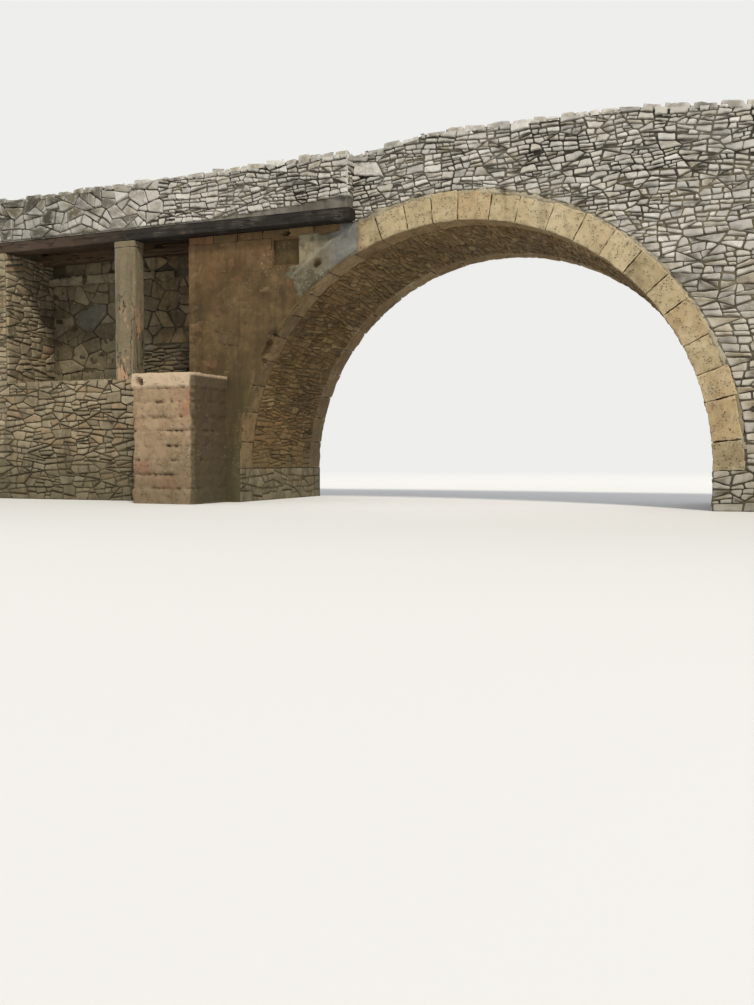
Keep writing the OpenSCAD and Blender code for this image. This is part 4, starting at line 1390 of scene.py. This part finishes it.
def mortars():
    """The smear beside the niche and the beds behind both rings."""
    sheet = skim("smeared_mortar", (-3.4, -1.66), (3.3, 4.98), 0.02, along_wall(FACE), smear_height)
    dress(sheet, "smear", "mortar", smooth=60)
    bead("ring_back_bed", FACE, -1, -24.5, 86, 3.1)
    bead("ring_back_bed_upstream", BACK, 1, -86, 86, 4.4)


# Post, pedestal and blocks
def column(name, outline, low, high, rows, shape=None):
    """An outline raised in rows from one height to another, closed at both ends."""
    piece = fresh(name, bpy.ops.mesh.primitive_circle_add, vertices=len(outline), radius=1, fill_type="NGON")
    in_edit(piece, bpy.ops.mesh.flip_normals)
    drawn_out(piece, rows, (0, 0, 1))
    for _ in range(3):
        ends = [len(face.vertices) > 4 for face in piece.data.polygons]
        in_edit(piece, lambda: bpy.ops.mesh.inset(thickness=0.12, use_individual=True), faces=ends)
    in_edit(piece, bpy.ops.mesh.poke, faces=[len(face.vertices) > 4 for face in piece.data.polygons])
    at = points_of(piece)
    rim = np.array(outline)
    middle = rim.mean(0)
    turn = np.degrees(np.arctan2(at[:, 1], at[:, 0])) / 360 * len(rim) % len(rim)
    i = np.floor(turn).astype(int) % len(rim)
    t = (turn - np.floor(turn))[:, None]
    rim = rim[i] * (1 - t) + rim[(i + 1) % len(rim)] * t
    flat = middle + (rim - middle) * np.minimum(1.0, np.hypot(at[:, 0], at[:, 1]))[:, None]
    at = np.column_stack([flat, low + (high - low) * at[:, 2] / rows])
    if shape:
        for p in at:
            shape(p, middle)
    set_points(piece, at)
    return one_tint(piece)


def rounded(x, y, radii, step):
    """A rectangle's outline from above, anticlockwise from the front left, with a radius at each corner."""
    points = []
    for cx, cy, start, r in zip((x[0], x[1], x[1], x[0]), (y[0], y[0], y[1], y[1]), (180, 270, 0, 90), radii):
        mx, my = cx + (r if cx == x[0] else -r), cy + (r if cy == y[0] else -r)
        turns = max(2, round(r * 1.6 / step))
        angles = [math.radians(start + 90 * k / turns) for k in range(turns + 1)]
        points += [(mx + r * math.cos(a), my + r * math.sin(a)) for a in angles]
    even, left = [], 0.0
    for p, q in zip(points, points[1:] + points[:1]):
        long = math.dist(p, q)
        while left <= long:
            t = left / long if long else 0
            even.append((p[0] + t * (q[0] - p[0]), p[1] + t * (q[1] - p[1])))
            left += step
        left -= long
    return even


def post():
    """The rendered post and its cap block, with their front left corner worn round."""
    body = column("post_body", rounded(POST, (FORWARD[0], FACE + 0.05), (0.14, 0.02, 0.02, 0.02), 0.035),
                  BAY_FLOOR, POST_TOP, 60)
    roughen(body, 0.022, 0.3)
    roughen(body, 0.007, 0.06)
    dress(body, "post", "post_render", "post")
    x, y = (POST[0] - 0.008, POST[1] + 0.008), (FORWARD[0] - 0.008, FACE + 0.058)
    cap = column("post_cap_block", rounded(x, y, (0.15, 0.02, 0.02, 0.02), 0.035),
                 POST_TOP + 0.008, BEAM_LOW, 4)
    roughen(cap, 0.008, 0.08)
    dress(cap, "post", "post_render", "post_cap")


def pedestal():
    """Worn courses with sunk, pitted joints, a round hole in the top one and a render coat on the right."""
    chance = random.Random(81)
    front = span("pedestal", "Y")[0]
    last = PEDESTAL_COURSES - 1
    wear = [0.0] + [chance.uniform(0.2, 1.0) for _ in range(last - 1)] + [0.0]
    rise = BAY_FLOOR / PEDESTAL_COURSES
    hole_x, hole_z, hole_size = PEDESTAL[0] + 0.2, BAY_FLOOR - 0.14, 0.075

    def shape(p, middle):
        x, y, z = p
        far = math.hypot(x - middle[0], y - middle[1])
        if y > FACE - 0.01 or far < 0.3:
            return
        k = min(last, int(z / rise))
        near = min(z - k * rise, (k + 1) * rise - z)
        edge = k if z - k * rise < rise / 2 else k + 1
        inner = 0 < edge <= last
        coat = share((x - PEDESTAL[1]) / 0.06 + 1) * (0.65 + 0.5 * wobble(x, y, z, 0.5))
        pit = max(0.0, 0.5 + 1.5 * wobble(x * 1.4, y * 1.4, edge * 3.0, 0.16))
        joint = math.exp(-(near / 0.024) ** 2) * min(1.7, pit) * inner
        back = 0.05 * wear[k] + 0.045 * joint + 0.022 * max(0.0, wobble(x, y, z, 0.3))
        back = back * (1 - 0.85 * coat) + 0.012 * coat
        if z > BAY_FLOOR - 0.06:
            back += 0.02 * max(0.0, wobble(x, y, 0, 0.2)) + 0.012 * (z > BAY_FLOOR - 0.01)
        p[0] -= back * (x - middle[0]) / far
        p[1] -= back * (y - middle[1]) / far
        deep = 1 - math.hypot(x - hole_x, z - hole_z) / hole_size
        if y < -1.9 and deep > 0:
            p[1] += 0.16 * min(1.0, deep * 4)
    outline = rounded(PEDESTAL, (front, FACE), (0.09, 0.09, 0.005, 0.005), 0.031)
    piece = column("pedestal_masonry", outline, 0.0, BAY_FLOOR, 84, shape)
    roughen(piece, 0.03, 0.22)
    roughen(piece, 0.022, 0.06)
    dress(piece, "pedestal", "pedestal_stone", "pedestal", smooth=50)


def ledge():
    """Rough stones that stand out of the back wall, left of the post."""
    chance = random.Random(82)
    (x, _, bottom), (right, back, top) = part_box("bay_ledge")
    stones = []
    while x < right - 0.1:
        end = min(x + chance.uniform(0.3, 0.62), right)
        out = 0.18 * max(0.25, share((right - (x + end) / 2) / 1.3)) * chance.uniform(0.45, 1.25)
        low = (x, back - out, bottom + chance.uniform(-0.05, 0.03))
        high = (end - chance.uniform(0.005, 0.03), back + 0.02, top - chance.uniform(-0.01, 0.05))
        stones.append(worn_cube(f"ledge_{len(stones)}", 11, filling(low, high), 0.02))
        x = end
    piece = joined("ledge_stones", stones)
    roughen(piece, 0.085, 0.17)
    roughen(piece, 0.04, 0.06)
    dress(piece, "bay", "bay_stone", "bay_ledge")


def bearing_blocks():
    """Squared blocks under the beam, one of them with a broken hollow."""
    chance = random.Random(83)
    stones = []
    for i, solid in enumerate(solids_of("bearing_course")):
        place = filling(solid.min(0), solid.max(0))
        stones.append(worn_cube(f"bearing_{i}", 9, place, 0.012, chance.random(), chance.random()))
    piece = joined("bearing_blocks", stones)
    roughen(piece, 0.014, 0.1)
    hollow_x, hollow_z = -3.04, COURSE_LOW + 0.055
    at = points_of(piece)
    for p in at:
        deep = 1 - math.hypot((p[0] - hollow_x) / 0.075, (p[2] - hollow_z) / 0.05)
        if p[1] < FACE + 0.03 and deep > 0:
            p[1] += 0.1 * min(1.0, 2.5 * deep)
    set_points(piece, at)
    dress(piece, "bearing", "ring_stone", "bearing_course")


# Road and timbers
def on_track(y, width):
    """How near a place is to one of the two wheel tracks."""
    return math.exp(-((abs(y - TRACKS[0]) - TRACKS[1]) / width) ** 2)


def road():
    """Trodden earth with two worn tracks, and loose gravel."""
    low, high = FORWARD[1], UPSTREAM[0]
    sheet = fresh("road_top", bpy.ops.mesh.primitive_grid_add, x_subdivisions=150, y_subdivisions=26, size=1)
    at = points_of(sheet)
    for p in at:
        x, y = p[0] * 2 * (END - 0.002), low + (p[1] + 0.5) * (high - low)
        uneven = 0.014 * wobble(x, y, 0, 0.5) + 0.006 * wobble(x, y, 3, 0.1)
        p[:] = x, y, ROAD + 0.018 - 0.03 * on_track(y, 0.2) + uneven
    set_points(sheet, at)
    chance = random.Random(91)
    gravel = joined("road_gravel", [pebbles(kind, chance, low, high) for kind in range(5)])
    dress(sheet, "road", "road_earth", smooth=70)
    dress(gravel, "parapet", "road_earth", smooth=50)


def pebbles(kind, chance, low, high):
    """Many pebbles of one shape, off the tracks, each with its own place, size and turn."""
    seed = fresh("pebble", bpy.ops.mesh.primitive_ico_sphere_add, subdivisions=1, radius=1)
    shape = points_of(seed)
    shape *= 1 + 0.3 * np.array([[wobble(*p, 0.7)] for p in shape + kind * 7])
    faces = [np.array(face.vertices) for face in seed.data.polygons]
    bpy.data.objects.remove(seed)
    points, all_faces = [], []
    for _ in range(170):
        x, y = chance.uniform(-END + 0.05, END - 0.05), chance.uniform(low + 0.05, high - 0.05)
        if x > STEP - 0.05 and y < CENTRE[1] + 0.05 or chance.random() < on_track(y, 0.22):
            continue
        size = chance.uniform(0.008, 0.028)
        turn = chance.uniform(0, 6.3)
        c, s = math.cos(turn), math.sin(turn)
        a, b, h = (shape * (size, size * 0.8, size * 0.6)).T
        all_faces += [(face + len(points)).tolist() for face in faces]
        points += np.column_stack([c * a - s * b + x, s * a + c * b + y, h + ROAD + 0.02]).tolist()
    return one_tint(mesh_piece(f"gravel_{kind}", points, all_faces), chance.random(), chance.random())


def warped(seed):
    """A timber's slow bends and worn spots."""
    def warp(at):
        for p in at:
            x, _, z = p
            p[2] += 0.008 * wobble(x, seed, 0, 1.3) - 0.008 * wobble(x, seed + 5, 0, 0.35)
            p[1] += 0.006 * wobble(x, seed + 9, z, 0.9)
        return at
    return warp


def timbers():
    """The two beams and the deck boards across them."""
    low = (BEAM_START, FORWARD[0] - 0.004, BEAM_LOW + 0.004)
    high = (BEAM_END, FACE + 0.128, BEAM_TOP - 0.006)
    beam = timber("front_beam_timber", low, high, (64, 4, 7), 0.018, 0.012, 0.12, warped(3))
    dress(beam, "timber", "old_timber", "beam_front")
    rear = timber("rear_beam_timber", *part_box("beam_rear"), (34, 3, 4), 0.016, 0.012, 0.14, warped(8))
    dress(rear, "rear_timber", "old_timber", "beam_rear")
    chance = random.Random(85)
    boards = []
    for i, solid in enumerate(solids_of("deck_boards")):
        (x0, y0, z0), (x1, y1, z1) = solid.min(0), solid.max(0)
        board = timber(f"board_{i}", (y0, -x1, z0), (y1, -x0, z1), (10, 4, 1), 0.006, 0.008, 0.1)
        along, across, height = points_of(board).T
        set_points(board, np.column_stack([-across, along, height + chance.uniform(-0.006, 0.0)]))
        boards.append(board)
    dress(joined("deck_planks", boards), "rear_timber", "old_timber", "deck_boards")


def coat_nodes():
    """Better finishes on the CAD nodes, most of which show only in joints and gaps."""
    coats = dict(vault="vault_mortar", ring_mortar="ring_mortar", parapet="parapet_mortar",
                 bay_back="bay_mortar", bay_base="bay_mortar", bay_ledge="bay",
                 spandrel_left_downstream="abutment_mortar", footing_left="abutment_mortar",
                 bearing="abutment", mortar_bed="bed", post="post", pedestal="pedestal", road="road",
                 deck="timber")
    for name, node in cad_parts.items():
        starts = [start for start in coats if name.startswith(start)]
        node.data.materials.clear()
        node.data.materials.append(FINISH[coats[max(starts, key=len)] if starts else "wall_mortar"])


FINISH = make_finishes()
set_the_stage()
for make in (face_walls, forward_parapet, parapet_ends_and_insides, parapet_tops, left_abutment, bay, ends,
             vault, rings, timbers, post, pedestal, ledge, bearing_blocks, mortars, road, coat_nodes):
    make()
